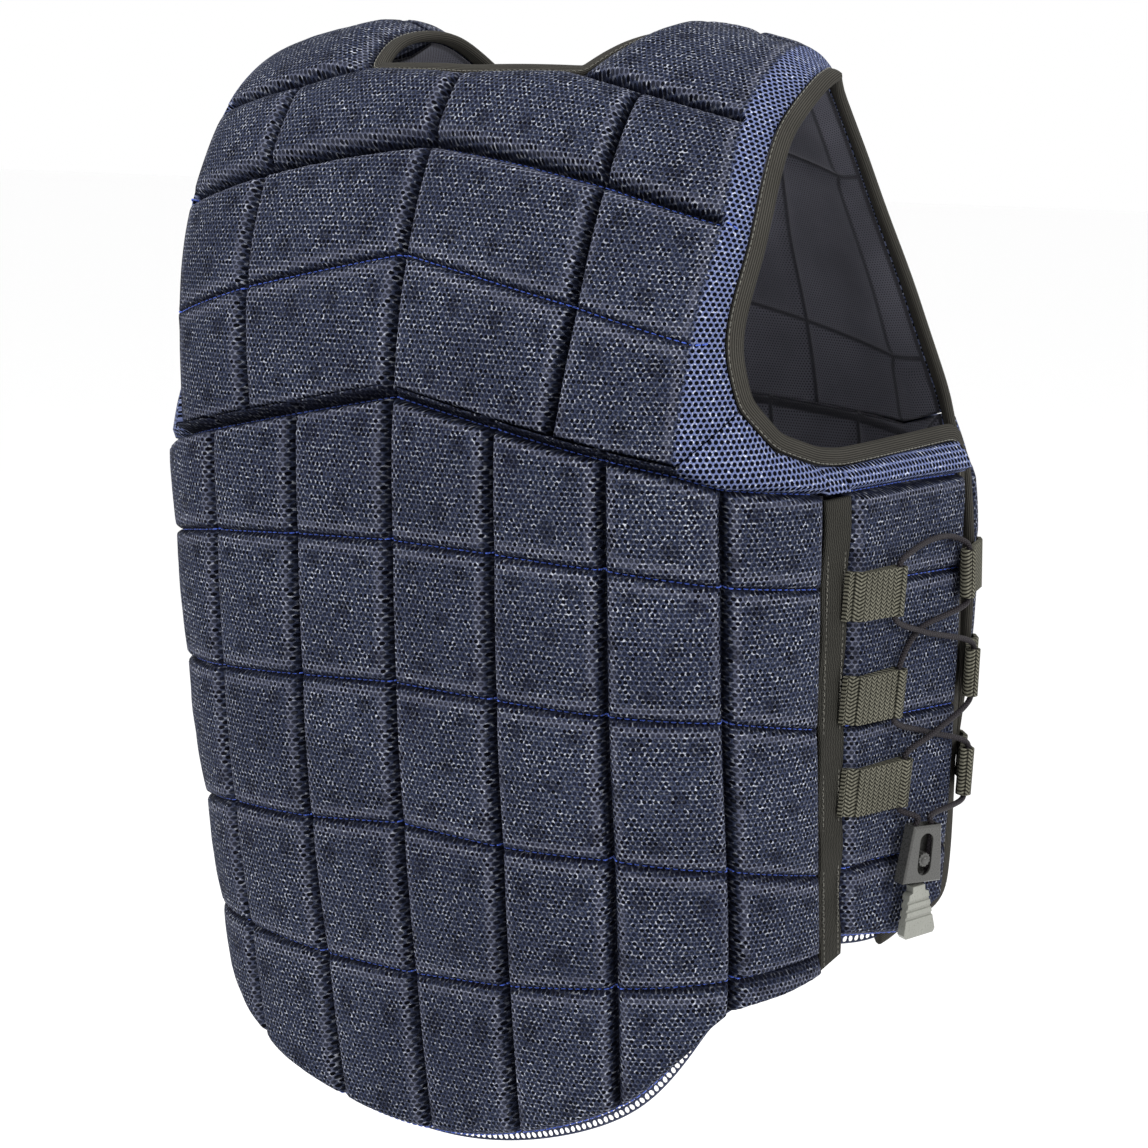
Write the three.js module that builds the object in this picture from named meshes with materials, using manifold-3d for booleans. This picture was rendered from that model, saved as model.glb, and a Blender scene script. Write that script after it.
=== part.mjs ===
// A rider's body protector: foam blocks quilted under mesh, laced at both sides, zipped in front.
// Millimetres. +X is the wearer's right, +Y the wearer's front, +Z up.
// The origin lies on the midline, level with the ridge of the shoulders, inside the neck opening.
import * as THREE from "three";
import { mergeVertices } from "three/addons/utils/BufferGeometryUtils.js";
import Module from "manifold-3d";

// Size of the body form
const vestHeight = 590; // shoulder ridge to the lowest section, straight down
const chestHalfWidth = 204;
const backDepth = 160; // how far the back stands behind the shoulder line
const frontDepth = 125;
const shoulderDrop = 22; // the shoulders slope down this much towards the arms

// Thicknesses
const foamThickness = 22;
const edgeThickness = 5; // where the mesh is sewn down, at armholes, neck and hem
const liningThickness = 1.2;
const clearance = 0.3;
const bandClearance = 0.8; // beside the curved borders of the panels

// Grooves between the blocks: half their width, and how deep they are
const deepGroove = { inset: 3.4, depth: 11 };
const sewnGroove = { inset: 2.4, depth: 5 };
const stepGroove = { inset: 4.5, depth: 13 };
const blockCrown = 1.6;
const armholeBevel = 2.5;
const edgeRaise = 7; // how far the inside stands off at the edges beside the lacing
const frontEdgeRaise = 12;
const neckRaise = 8;

// Trims
const neckBindingWidth = 7;
const edgeBindingWidth = 8;
const hemMeshWidth = 6.5;
const hemMeshThickness = 3;
const tapeWidth = 18.4; // from the back body's edge to the side flap's edge
const tapeThickness = 2.4;
const tapeSink = 4.2; // how far the tape lies below the tops of the blocks
const zipThickness = 4;
const zipSink = 1; // the zip stands this far off the inside
const zipEdge = 0.036 * chestHalfWidth;
const zipPullWidth = 7;
const zipPullLength = 24;
const zipPullThickness = 2;

// Lacing
const laceRadius = 1.3;
const laceSides = 8;
const laceSteps = 64;
const webbingHeight = 24.5;
const webbingThickness = 1.3;
const eyeRadius = 2.7; // inside of the folded end that the lace runs through
const loopSeat = 1.4; // how far a loop's root lies over what it is sewn to
const edgeEyeRise = 3; // height of the front loops' eyes over the flank

// Cord lock and the clip on the lace's ends
const lockTopWidth = 18;
const lockBottomWidth = 25;
const lockHeight = 30;
const lockThickness = 8.5;
const slotWidth = 8.5;
const slotLength = 22;
const rollerRadius = 3.9;
const rollerClearance = 0.25;
const rollerTeeth = 12;
const rollerPinRadius = 2.3;
const clipTopWidth = 12.5;
const clipBottomWidth = 21;
const clipHeight = 24;
const clipThickness = 5.5;
const clipNeckWidth = 8;
const clipNeckHeight = 3.4;
const clipGrooveWidth = 1.5;
const clipGrooveDepth = 1.8; // half of it lies in the face
const clipGrooves = [0.2, 0.38, 0.56]; // shares of clipHeight from its top
const clipGap = 1.8; // between the lock's underside and the neck
const clipLean = THREE.MathUtils.degToRad(8);
const lockWall = 1.4;
const lockRise = 11.6; // height of the lock's middle over the flank
const toothDepth = 0.7;
const rollerDrop = 3; // how far the roller stands below the middle of its slot
const laceLane = 5.6; // from the lock's middle to each lace inside it
const lockTurn = THREE.MathUtils.degToRad(20); // the lock faces a little to the back

// Sections of the body form, from the tail up the back, over the shoulder and down the front.
// down is a share of vestHeight. out is the midline's place and side is the flank's place, as
// shares of backDepth (negative, behind) or frontDepth (positive, in front). half is a share of
// chestHalfWidth, drop of shoulderDrop, and square is the exponent that squares the corner. flare is
// how much the flank widens towards the front, where the side flap runs on over the hip.
const torsoSections = [
  { down: 1.0, out: -0.79, half: 0.735, side: -0.375, square: 3.2, drop: 0, flare: 0.28 },
  { down: 0.881, out: -0.863, half: 0.814, side: -0.125, square: 3.2, drop: 0, flare: 0.28 },
  { down: 0.746, out: -0.931, half: 0.882, side: 0, square: 3.2, drop: 0, flare: 0.24 },
  { down: 0.61, out: -0.981, half: 0.931, side: 0, square: 3.2, drop: 0, flare: 0.15 },
  { down: 0.475, out: -1.0, half: 0.971, side: 0, square: 3.2, drop: 0, flare: 0.06 },
  { down: 0.339, out: -1.0, half: 1.0, side: 0, square: 3.2, drop: 0 },
  { down: 0.22, out: -0.9375, half: 1.01, side: -0.0625, square: 3.2, drop: 0.27 },
  { down: 0.119, out: -0.8, half: 0.995, side: -0.125, square: 3.0, drop: 0.64 },
  { down: 0.051, out: -0.625, half: 0.961, side: -0.19, square: 2.8, drop: 0.91 },
  { down: 0.01, out: -0.3875, half: 0.882, side: -0.19, square: 2.6, drop: 1 },
  { down: 0, out: -0.125, half: 0.833, side: -0.1125, square: 2.2, drop: 1 },
  { down: 0.017, out: 0.12, half: 0.833, side: -0.04, square: 2.2, drop: 1 },
  { down: 0.068, out: 0.384, half: 0.843, side: 0.08, square: 2.4, drop: 1 },
  { down: 0.144, out: 0.624, half: 0.873, side: 0.176, square: 2.6, drop: 0.73 },
  { down: 0.237, out: 0.816, half: 0.931, side: 0.256, square: 2.8, drop: 0.36 },
  { down: 0.339, out: 0.936, half: 0.985, side: 0.304, square: 3.0, drop: 0 },
  { down: 0.475, out: 0.992, half: 1.005, side: 0.34, square: 3.2, drop: 0 },
  { down: 0.61, out: 0.96, half: 0.99, side: 0.345, square: 3.2, drop: 0 },
  { down: 0.746, out: 0.88, half: 0.965, side: 0.29, square: 3.0, drop: 0 },
];
const ridgeSection = torsoSections.findIndex((section) => section.down === 0);

// Block corners. Each row of a table is one seam line; each column is [across, along]. across is
// a share of chestHalfWidth, measured round the body from the midline. along is a share of the
// way from the shoulder ridge to the end of the sections, + down the back and - down the front.
const yokeCorners = [
  {
    spine: [0, 0.127], neck: [0.29, 0.117], inner: [0.51, 0.133],
    edge: [0.8, 0.147], armhole: [0.872, 0.149],
  },
  {
    spine: [0, 0.196], neck: [0.255, 0.205], inner: [0.507, 0.217],
    edge: [0.83, 0.241], armhole: [0.895, 0.25],
  },
  {
    spine: [0, 0.285], neck: [0.25, 0.3], inner: [0.495, 0.315],
    edge: [0.8, 0.34], armhole: [0.877, 0.337],
  },
  {
    spine: [0, 0.381], neck: [0.23, 0.395], inner: [0.455, 0.409],
    edge: [0.77, 0.428], armhole: [0.925, 0.39],
  },
];
const bodyCorners = [
  {
    spine: [0, 0.386], first: [0.296, 0.404], second: [0.592, 0.422],
    corner: [0.77, 0.433], third: [0.93, 0.395], tape: [1.18, 0.438],
  },
  {
    spine: [0, 0.391], first: [0.296, 0.409], second: [0.592, 0.428],
    corner: [0.77, 0.439], third: [0.887, 0.449], tape: [1.18, 0.458],
  },
  {
    spine: [0, 0.497], first: [0.296, 0.5], second: [0.592, 0.506],
    corner: [0.77, 0.513], third: [0.887, 0.518], tape: [1.18, 0.526],
  },
  {
    spine: [0, 0.604], first: [0.294, 0.608], second: [0.59, 0.613],
    corner: [0.77, 0.616], third: [0.887, 0.618], tape: [1.18, 0.633],
  },
  {
    spine: [0, 0.713], first: [0.292, 0.72], second: [0.588, 0.722],
    corner: [0.765, 0.728], third: [0.887, 0.732], tape: [1.185, 0.749],
  },
  {
    spine: [0, 0.833], first: [0.28, 0.83], second: [0.572, 0.822],
    corner: [0.75, 0.819], third: [0.875, 0.817], tape: [1.195, 0.812],
  },
  {
    spine: [0, 0.968], first: [0.27, 0.956], second: [0.55, 0.924],
    corner: [0.73, 0.882], third: [0.86, 0.848], tape: [1.2, 0.83],
  },
];
// The side flap's two edges: the tape's side, and the front edge by its depth as a share of backDepth.
const flapCorners = [
  { tape: [1.18, 0.441], middle: [0.1, 0.439], front: [0.38, 0.437] },
  { tape: [1.18, 0.459], middle: [0.1, 0.46], front: [0.39, 0.462] },
  { tape: [1.18, 0.528], middle: [0.1, 0.53], front: [0.39, 0.532] },
  { tape: [1.18, 0.635], middle: [0.1, 0.637], front: [0.39, 0.638] },
  { tape: [1.185, 0.75], middle: [0.1, 0.75], front: [0.39, 0.75] },
  { tape: [1.2, 0.812], middle: [0.2, 0.82], front: [0.38, 0.795] },
];
const shoulderCorners = [
  { neck: [0.385, 0.004], edge: [0.745, 0.004], armhole: [0.812, 0.004] },
  { neck: [0.378, 0.06], edge: [0.785, 0.075], armhole: [0.862, 0.075] },
  { neck: [0.33, 0.116], edge: [0.8, 0.144], armhole: [0.872, 0.146] },
];
const frontYokeCorners = [
  { neck: [0.385, -0.004], inner: [0.59, -0.004], edge: [0.745, -0.004], armhole: [0.812, -0.004] },
  { neck: [0.375, -0.09], inner: [0.575, -0.095], edge: [0.76, -0.1], armhole: [0.84, -0.1] },
  { neck: [0.3, -0.18], inner: [0.53, -0.19], edge: [0.75, -0.207], armhole: [0.832, -0.212] },
  { neck: [0.17, -0.232], inner: [0.49, -0.26], edge: [0.75, -0.29], armhole: [0.835, -0.295] },
  { neck: [0.036, -0.25], inner: [0.46, -0.33], edge: [0.755, -0.37], armhole: [0.847, -0.378] },
  { neck: [0.036, -0.39], inner: [0.455, -0.425], edge: [0.765, -0.455], armhole: [0.88, -0.457] },
  { neck: [0.036, -0.512], inner: [0.455, -0.525], edge: [0.77, -0.535], armhole: [0.945, -0.52] },
];
// The front body's side edge is given by its depth, as the flap's front edge is.
const frontBodyCorners = [
  {
    zip: [0.036, -0.517], inner: [0.3, -0.525], middle: [0.592, -0.535],
    corner: [0.77, -0.541], outer: [0.95, -0.526], side: [0.525, -0.57],
  },
  {
    zip: [0.036, -0.524], inner: [0.3, -0.532], middle: [0.592, -0.542],
    corner: [0.77, -0.553], outer: [0.88, -0.566], side: [0.55, -0.6],
  },
  {
    zip: [0.036, -0.655], inner: [0.3, -0.657], middle: [0.592, -0.66],
    corner: [0.75, -0.664], outer: [0.85, -0.667], side: [0.575, -0.672],
  },
  {
    zip: [0.036, -0.785], inner: [0.3, -0.786], middle: [0.59, -0.787],
    corner: [0.74, -0.789], outer: [0.84, -0.79], side: [0.585, -0.795],
  },
  {
    zip: [0.036, -0.905], inner: [0.3, -0.905], middle: [0.585, -0.905],
    corner: [0.74, -0.904], outer: [0.84, -0.903], side: [0.575, -0.9],
  },
  {
    zip: [0.036, -0.99], inner: [0.3, -0.99], middle: [0.58, -0.985],
    corner: [0.73, -0.98], outer: [0.83, -0.975], side: [0.53, -0.955],
  },
];

// Webbing loops, from the top down. z is a share of -vestHeight at the loop's middle. root and eye
// are millimetres: how far a tape loop starts behind the side flap's back edge, and how far its
// folded end lies in front of it, or behind the front panel's edge for an edge loop.
const tapeLoops = [
  { z: 0.481, root: 3.8, eye: 31.4 },
  { z: 0.5705, root: 3.4, eye: 35 },
  { z: 0.652, root: 3.0, eye: 40.7 },
];
const edgeLoops = [
  { z: 0.4795, eye: 44.1 },
  { z: 0.5675, eye: 36.7 },
  { z: 0.655, eye: 34.5 },
];
const lockPlace = { y: 0.13, z: 0.716 }; // shares of backDepth and of -vestHeight

// Where the two runs of the lace cross, and the bend over the top.
const laceCrossings = [
  {
    over: { y: 0.075, z: 0.522, lift: 7.2 },
    under: { y: 0.075, z: 0.522, lift: 3.6 },
  },
  {
    over: { y: 0.175, z: 0.6135, lift: 7.2 },
    under: { y: 0.175, z: 0.6135, lift: 3.4 },
  },
];
const laceTop = [
  { y: -0.05, z: 0.452, lift: 6 },
  { y: 0.1, z: 0.444, lift: 5 },
  { y: 0.255, z: 0.4475, lift: 3.5 },
];

// Interpolates one column of the section table with a smooth curve through its rows.
function smoothColumn(places, values, place) {
  let i = 1;
  while (i < places.length - 1 && places[i] < place) i++;
  const slope = (k) => {
    const a = Math.max(k - 1, 0);
    const b = Math.min(k + 1, places.length - 1);
    return (values[b] - values[a]) / (places[b] - places[a]);
  };
  const length = places[i] - places[i - 1];
  const t = (place - places[i - 1]) / length;
  const rise = values[i] - values[i - 1];
  const start = slope(i - 1) * length;
  const end = slope(i) * length;
  return values[i - 1] + t * (start + t * (3 * rise - 2 * start - end + t * (start + end - 2 * rise)));
}

const sectionSizes = torsoSections.map((section) => {
  const reach = (share) => share * (share < 0 ? backDepth : frontDepth);
  return {
    z: -section.down * vestHeight,
    out: reach(section.out),
    half: section.half * chestHalfWidth,
    side: reach(section.side),
    square: section.square,
    drop: section.drop * shoulderDrop,
    flare: section.flare ?? 0,
  };
});

// Places of the sections along the midline: 1 at the tail, 0 on the ridge, -1 at the front hem.
const sectionPlaces = (() => {
  const tape = [0];
  for (let i = 1; i < sectionSizes.length; i++) {
    const from = sectionSizes[i - 1];
    const to = sectionSizes[i];
    tape.push(tape[i - 1] + Math.hypot(to.z - from.z, to.out - from.out));
  }
  const ridge = tape[ridgeSection];
  const end = tape[tape.length - 1];
  return tape.map((length) => (length < ridge ? 1 - length / ridge : (ridge - length) / (end - ridge)));
})();
const orderedPlaces = sectionPlaces.map((place) => -place);

function sectionAt(along) {
  const section = {};
  for (const key of ["z", "out", "half", "side", "square", "drop", "flare"])
    section[key] = smoothColumn(orderedPlaces, sectionSizes.map((size) => size[key]), -along);
  return section;
}

// Point of one section at an angle: 0 on the midline, 90 degrees on the flank.
const arcSteps = 60;
function cornerPoint(section, angle) {
  const across = Math.sin(angle) ** (2 / section.square);
  const back = Math.abs(Math.cos(angle)) ** (2 / section.square);
  return new THREE.Vector3(
    section.half * across,
    section.side + (section.out - section.side) * back,
    section.z - section.drop * across ** 1.6,
  );
}

const sectionLines = new Map();
function sectionLine(along) {
  if (!sectionLines.has(along)) {
    const section = sectionAt(along);
    const points = [cornerPoint(section, 0)];
    const lengths = [0];
    for (let i = 1; i <= arcSteps; i++) {
      points.push(cornerPoint(section, (i / arcSteps) * (Math.PI / 2)));
      lengths.push(lengths[i - 1] + points[i].distanceTo(points[i - 1]));
    }
    sectionLines.set(along, { section, points, lengths });
  }
  return sectionLines.get(along);
}

// Point of the outer form. across is in millimetres from the midline, negative to the left.
function formPoint(across, along) {
  const { section, points, lengths } = sectionLine(along);
  const distance = Math.abs(across);
  const total = lengths[arcSteps];
  let point;
  if (distance >= total) {
    const forward = Math.sign(section.side - section.out) || 1;
    point = points[arcSteps].clone();
    point.y += forward * (distance - total);
    point.x += section.flare * (distance - total);
  } else {
    let i = 1;
    while (lengths[i] < distance) i++;
    point = points[i - 1].clone().lerp(points[i], (distance - lengths[i - 1]) / (lengths[i] - lengths[i - 1]));
  }
  if (across < 0) point.x = -point.x;
  return point;
}

function formNormal(across, along) {
  const acrossStep = 2;
  const alongStep = 0.004;
  const sideways = formPoint(across + acrossStep, along).sub(formPoint(across - acrossStep, along));
  const upwards = formPoint(across, along - alongStep).sub(formPoint(across, along + alongStep));
  return sideways.cross(upwards).normalize();
}

// How far round the body the flank has a given depth y, on a back or a front section.
function acrossAtDepth(depth, along) {
  const { points, lengths } = sectionLine(along);
  const forward = along > 0 ? 1 : -1;
  const beyond = (depth - points[arcSteps].y) * forward;
  if (beyond >= 0) return lengths[arcSteps] + beyond;
  let i = arcSteps;
  while (i > 1 && (points[i - 1].y - depth) * forward > 0) i--;
  const part = (depth - points[i - 1].y) / (points[i].y - points[i - 1].y);
  return lengths[i - 1] + part * (lengths[i] - lengths[i - 1]);
}

// The place along the back (1) or the front (-1) whose section lies at a height z.
function alongAtHeight(z, side) {
  let upper = 0.1;
  let lower = 1;
  for (let i = 0; i < 30; i++) {
    const middle = (upper + lower) / 2;
    if (sectionAt(side * middle).z > z) upper = middle;
    else lower = middle;
  }
  return side * lower;
}

// Point on the right flank at a given y and z, lifted off the outer form.
function flankPoint(y, z, lift, side = 1) {
  const along = alongAtHeight(z, side);
  const point = formPoint(acrossAtDepth(y, along), along);
  point.z = z;
  point.x += lift;
  return point;
}

// A closed triangle mesh from shared corners.
function meshGeometry(corners, triangles) {
  const geometry = new THREE.BufferGeometry();
  const values = corners.flatMap((corner) => [corner.x, corner.y, corner.z]);
  geometry.setAttribute("position", new THREE.Float32BufferAttribute(values, 3));
  geometry.setIndex(triangles.flat());
  geometry.computeVertexNormals();
  return geometry;
}

// The mirror image across the midline plane, with its faces turned back out.
function mirrored(geometry) {
  const copy = geometry.clone();
  const position = copy.attributes.position;
  for (let i = 0; i < position.count; i++) position.setX(i, -position.getX(i));
  if (!copy.index) copy.setIndex([...Array(position.count).keys()]);
  const index = copy.index;
  for (let i = 0; i < index.count; i += 3) {
    const second = index.getX(i + 1);
    index.setX(i + 1, index.getX(i + 2));
    index.setX(i + 2, second);
  }
  copy.computeVertexNormals();
  return copy;
}

function catmullRom(a, b, c, d, t) {
  return a.map((_, k) => {
    const linear = (c[k] - a[k]) / 2;
    const next = (d[k] - b[k]) / 2;
    const rise = c[k] - b[k];
    return b[k] + t * (linear + t * (3 * rise - 2 * linear - next + t * (linear + next - 2 * rise)));
  });
}

// A point of a net of corners at a fractional row and column: seams run smoothly down the rows.
function netPoint(net, row, column, roundRows) {
  const columns = net[0].length;
  const c = Math.min(Math.floor(column), columns - 2);
  const along = (r) => {
    const line = net[Math.min(Math.max(r, 0), net.length - 1)];
    const t = column - c;
    if (roundRows.includes(line.name))
      return catmullRom(line[Math.max(c - 1, 0)], line[c], line[c + 1], line[Math.min(c + 2, columns - 1)], t);
    return line[c].map((value, k) => value + (line[c + 1][k] - value) * t);
  };
  const r = Math.min(Math.floor(row), net.length - 2);
  return catmullRom(along(r - 1), along(r), along(r + 1), along(r + 2), row - r);
}

// Grid lines along one direction of a net. Each seam has a groove: a line on it and one at each
// side of it. The places are in cells, sunk is how deep the line lies below the block tops, and
// raised how far the inside stands off there.
function gridLines(seams, cellLengths, withMiddle, crown) {
  const lines = [];
  seams.forEach((seam, i) => {
    const before = cellLengths[i - 1];
    const after = cellLengths[i];
    if (before && seam.inset) lines.push({ place: i - Math.min(seam.inset / before, 0.4), sunk: 0, kept: false });
    lines.push({ place: i, sunk: seam.depth, raised: seam.raised ?? 0, kept: true });
    if (after && seam.inset) lines.push({ place: i + Math.min(seam.inset / after, 0.4), sunk: 0, kept: false });
    if (after && withMiddle(i)) lines.push({ place: i + 0.5, sunk: -crown, kept: true });
  });
  return lines;
}

function averageLengths(net, alongRows) {
  const rows = net.length;
  const columns = net[0].length;
  const count = (alongRows ? rows : columns) - 1;
  return Array.from({ length: count }, (_, i) => {
    let sum = 0;
    const others = alongRows ? columns : rows;
    for (let k = 0; k < others; k++) {
      const from = alongRows ? net[i][k] : net[k][i];
      const to = alongRows ? net[i + 1][k] : net[k][i + 1];
      sum += formPoint(...from).distanceTo(formPoint(...to)) / others;
    }
    return sum;
  });
}

// Fills the strip between two rows of corner numbers whose places run from the same start to the
// same end, taking a step on whichever row lags.
function stripTriangles(first, second) {
  const triangles = [];
  let i = 0;
  let k = 0;
  while (i < first.length - 1 || k < second.length - 1) {
    const stepFirst =
      k === second.length - 1 || (i < first.length - 1 && first[i + 1].place <= second[k + 1].place);
    if (stepFirst) {
      triangles.push([first[i].id, first[i + 1].id, second[k].id]);
      i++;
    } else {
      triangles.push([first[i].id, second[k + 1].id, second[k].id]);
      k++;
    }
  }
  return triangles;
}

// Moves the border corners beside the grooves onto the straight lines between the kept corners.
function straightenBorder(corners, ids, lines) {
  let from = 0;
  for (let i = 1; i < lines.length; i++) {
    if (!lines[i].kept) continue;
    for (let k = from + 1; k < i; k++) {
      const part = (lines[k].place - lines[from].place) / (lines[i].place - lines[from].place);
      corners[ids[k]].lerpVectors(corners[ids[from]], corners[ids[i]], part);
    }
    from = i;
  }
}

// A quilted panel: a thick sheet on the form, with crowned blocks outside and a plain inside.
function quiltedPanel(panel) {
  const { net, rowSeams, columnSeams, middles, roundRows = [] } = panel;
  const { lift = 0, thickness = foamThickness, crown = blockCrown } = panel;
  const rows = gridLines(rowSeams, averageLengths(net, true), middles.row, crown);
  const columns = gridLines(columnSeams, averageLengths(net, false), middles.column, crown);
  const corners = [];
  const outer = rows.map((row) =>
    columns.map((column) => {
      const [across, along] = netPoint(net, row.place, column.place, roundRows);
      const raised = Math.max(row.raised ?? 0, column.raised ?? 0);
      const deepest = thickness - edgeThickness - raised;
      const sunk = crown ? Math.min(Math.max(row.sunk, column.sunk), deepest) : -raised;
      corners.push(formPoint(across, along).addScaledVector(formNormal(across, along), lift - sunk));
      return corners.length - 1;
    }),
  );
  const lastRow = rows.length - 1;
  const lastColumn = columns.length - 1;
  for (const c of [0, lastColumn]) straightenBorder(corners, outer.map((line) => line[c]), rows);
  for (const r of [0, lastRow]) straightenBorder(corners, outer[r], columns);
  const keptRows = rows.filter((row) => row.kept);
  const keptColumns = columns.filter((column) => column.kept);
  const inner = keptRows.map((row) =>
    keptColumns.map((column) => {
      const [across, along] = netPoint(net, row.place, column.place, roundRows);
      const raised = Math.max(row.raised ?? 0, column.raised ?? 0);
      corners.push(formPoint(across, along).addScaledVector(formNormal(across, along), lift - thickness + raised));
      return corners.length - 1;
    }),
  );
  const triangles = [];
  for (let r = 0; r < rows.length - 1; r++)
    for (let c = 0; c < columns.length - 1; c++) {
      const [a, b, d, e] = [outer[r][c], outer[r][c + 1], outer[r + 1][c], outer[r + 1][c + 1]];
      triangles.push([a, d, b], [b, d, e]);
    }
  for (let r = 0; r < keptRows.length - 1; r++)
    for (let c = 0; c < keptColumns.length - 1; c++) {
      const [a, b, d, e] = [inner[r][c], inner[r][c + 1], inner[r + 1][c], inner[r + 1][c + 1]];
      triangles.push([a, b, d], [b, e, d]);
    }
  const rowOf = (grid, lines, index) => grid[index].map((id, c) => ({ id, place: lines[c].place }));
  const columnOf = (grid, lines, index) => grid.map((line, r) => ({ id: line[index], place: lines[r].place }));
  const flip = (list) => list.map(([a, b, c]) => [a, c, b]);
  const top = stripTriangles(rowOf(outer, columns, 0), rowOf(inner, keptColumns, 0));
  const bottom = stripTriangles(rowOf(outer, columns, lastRow), rowOf(inner, keptColumns, keptRows.length - 1));
  const left = stripTriangles(columnOf(outer, rows, 0), columnOf(inner, keptRows, 0));
  const right = stripTriangles(columnOf(outer, rows, lastColumn), columnOf(inner, keptRows, keptColumns.length - 1));
  triangles.push(...top, ...flip(bottom), ...flip(left), ...right);
  const runsDownTheFront = net[net.length - 1][0][1] < net[0][0][1];
  const borderPoint = (row, column) => [
    ...netPoint(net, row.place, column.place, roundRows),
    Math.max(row.raised ?? 0, column.raised ?? 0),
  ];
  return {
    geometry: meshGeometry(corners, runsDownTheFront ? flip(triangles) : triangles),
    top: keptColumns.map((column) => borderPoint(rows[0], column)),
    bottom: keptColumns.map((column) => borderPoint(rows[lastRow], column)),
    left: keptRows.map((row) => borderPoint(row, columns[0])),
    right: keptRows.map((row) => borderPoint(row, columns[lastColumn])),
  };
}

// A band along a border of [across, along, raised] points. The section is a list of [aside, lift] corners:
// aside is counted from the border, away from the panel, and lift from the inside of the foam.
function borderBand(border, section, turn) {
  const points = border.map(([across, along]) => formPoint(across, along));
  const normals = border.map(([across, along]) => formNormal(across, along));
  const asides = points.map((point, i) => {
    const before = points[Math.max(i - 1, 0)];
    const after = points[Math.min(i + 1, points.length - 1)];
    return after.clone().sub(before).cross(normals[i]).normalize().multiplyScalar(turn);
  });
  const corners = [];
  points.forEach((point, i) => {
    for (const [aside, lift] of section)
      corners.push(
        point
          .clone()
          .addScaledVector(asides[i], aside)
          .addScaledVector(normals[i], lift + border[i][2] - foamThickness),
      );
  });
  return sweptGeometry(corners, points.length, section, turn > 0);
}

// Joins rings of equal corners into a closed body with flat ends.
function sweptGeometry(corners, ringCount, section, turned) {
  const size = section.length;
  const triangles = [];
  for (let i = 0; i < ringCount - 1; i++)
    for (let k = 0; k < size; k++) {
      const next = (k + 1) % size;
      const [a, b, c, d] = [i * size + k, i * size + next, (i + 1) * size + k, (i + 1) * size + next];
      triangles.push([a, c, b], [b, c, d]);
    }
  const cap = THREE.ShapeUtils.triangulateShape(section.map(([x, y]) => new THREE.Vector2(x, y)), []);
  const last = (ringCount - 1) * size;
  for (const [a, b, c] of cap) triangles.push([a, b, c], [last + a, last + c, last + b]);
  const outward = turned ? triangles : triangles.map(([a, b, c]) => [a, c, b]);
  return meshGeometry(corners, outward);
}

// Section of a folded binding: flat against the wearer, rounded at its free edge.
function bindingSection(width, height) {
  const soften = height * 0.3;
  return [
    [bandClearance, 0],
    [width, 0],
    [width + soften, height / 2],
    [width, height],
    [bandClearance, height],
  ];
}

function scaled([across, along]) {
  return [across * chestHalfWidth, along];
}
function atDepth([depth, along]) {
  return [acrossAtDepth(depth * backDepth, along), along];
}
const halfNet = (table, columns) => table.map((row) => columns.map((key) => scaled(row[key])));

// Both sides of a panel that crosses the midline.
function wholeNet(table, columns) {
  return halfNet(table, columns).map((right) => {
    const left = right.slice(1).reverse().map(([across, along]) => [-across, along]);
    return [...left, ...right];
  });
}
const bothSides = (seams) => [...seams.slice(1).reverse(), ...seams];

const fullDepth = foamThickness - edgeThickness;
const plainLine = { inset: 0, depth: 0 };
const narrowEdge = { inset: 8, depth: fullDepth };
// Edges that run midway between the block tops and the inside.
const thinEdge = { inset: 0, depth: fullDepth - edgeRaise, raised: edgeRaise };
const neckEdge = { inset: 14, depth: fullDepth - neckRaise, raised: neckRaise };
const openEdge = { inset: 7, depth: fullDepth - edgeRaise, raised: edgeRaise };
const frontSideEdge = { inset: 5, depth: fullDepth - frontEdgeRaise, raised: frontEdgeRaise };
const tuckedEdge = { inset: 6, depth: tapeSink + tapeThickness + clearance };
// The outer blocks end on a bend, from which the mesh slopes down to the armhole.
const armholeBend = { inset: 0, depth: armholeBevel };
const blockTop = { inset: 2.5, depth: 9 };

const materials = {};
function material(name, color, roughness, metalness = 0) {
  materials[name] ??= new THREE.MeshStandardMaterial({ name, color, roughness, metalness });
  return materials[name];
}
const meshFabric = () => material("block_mesh", 0x3e4458, 0.8);
const liningCloth = () => material("lining", 0x2a2a30, 0.9);
const bindingCloth = () => material("binding", 0x3e3c36, 0.85);
const webbing = () => material("webbing", 0x5a5a4a, 0.8);
const laceCord = () => material("lace", 0x3c383e, 0.6);
const lockPlastic = () => material("lock", 0x82827d, 0.4);
const clipPlastic = () => material("clip", 0xafb4aa, 0.45);
const zipTape = () => material("zip", 0x22242c, 0.7);

const group = new THREE.Group();
function addPiece(name, geometry, look) {
  const mesh = new THREE.Mesh(geometry, look);
  mesh.name = name;
  group.add(mesh);
  return mesh;
}
function addPair(name, geometry, look) {
  addPiece(name + "_right", geometry, look);
  addPiece(name + "_left", mirrored(geometry), look);
}

// Back panels
const yokeColumns = ["spine", "neck", "inner", "edge", "armhole"];
const yokeNet = wholeNet(yokeCorners, yokeColumns);
const yokePanel = {
  net: yokeNet,
  rowSeams: [neckEdge, stepGroove, sewnGroove, { inset: 3, depth: 4 }],
  columnSeams: bothSides([deepGroove, plainLine, deepGroove, armholeBend, thinEdge]),
  middles: { row: () => true, column: () => false },
};
const yoke = quiltedPanel(yokePanel);
addPiece("back_yoke", yoke.geometry, meshFabric());

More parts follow.
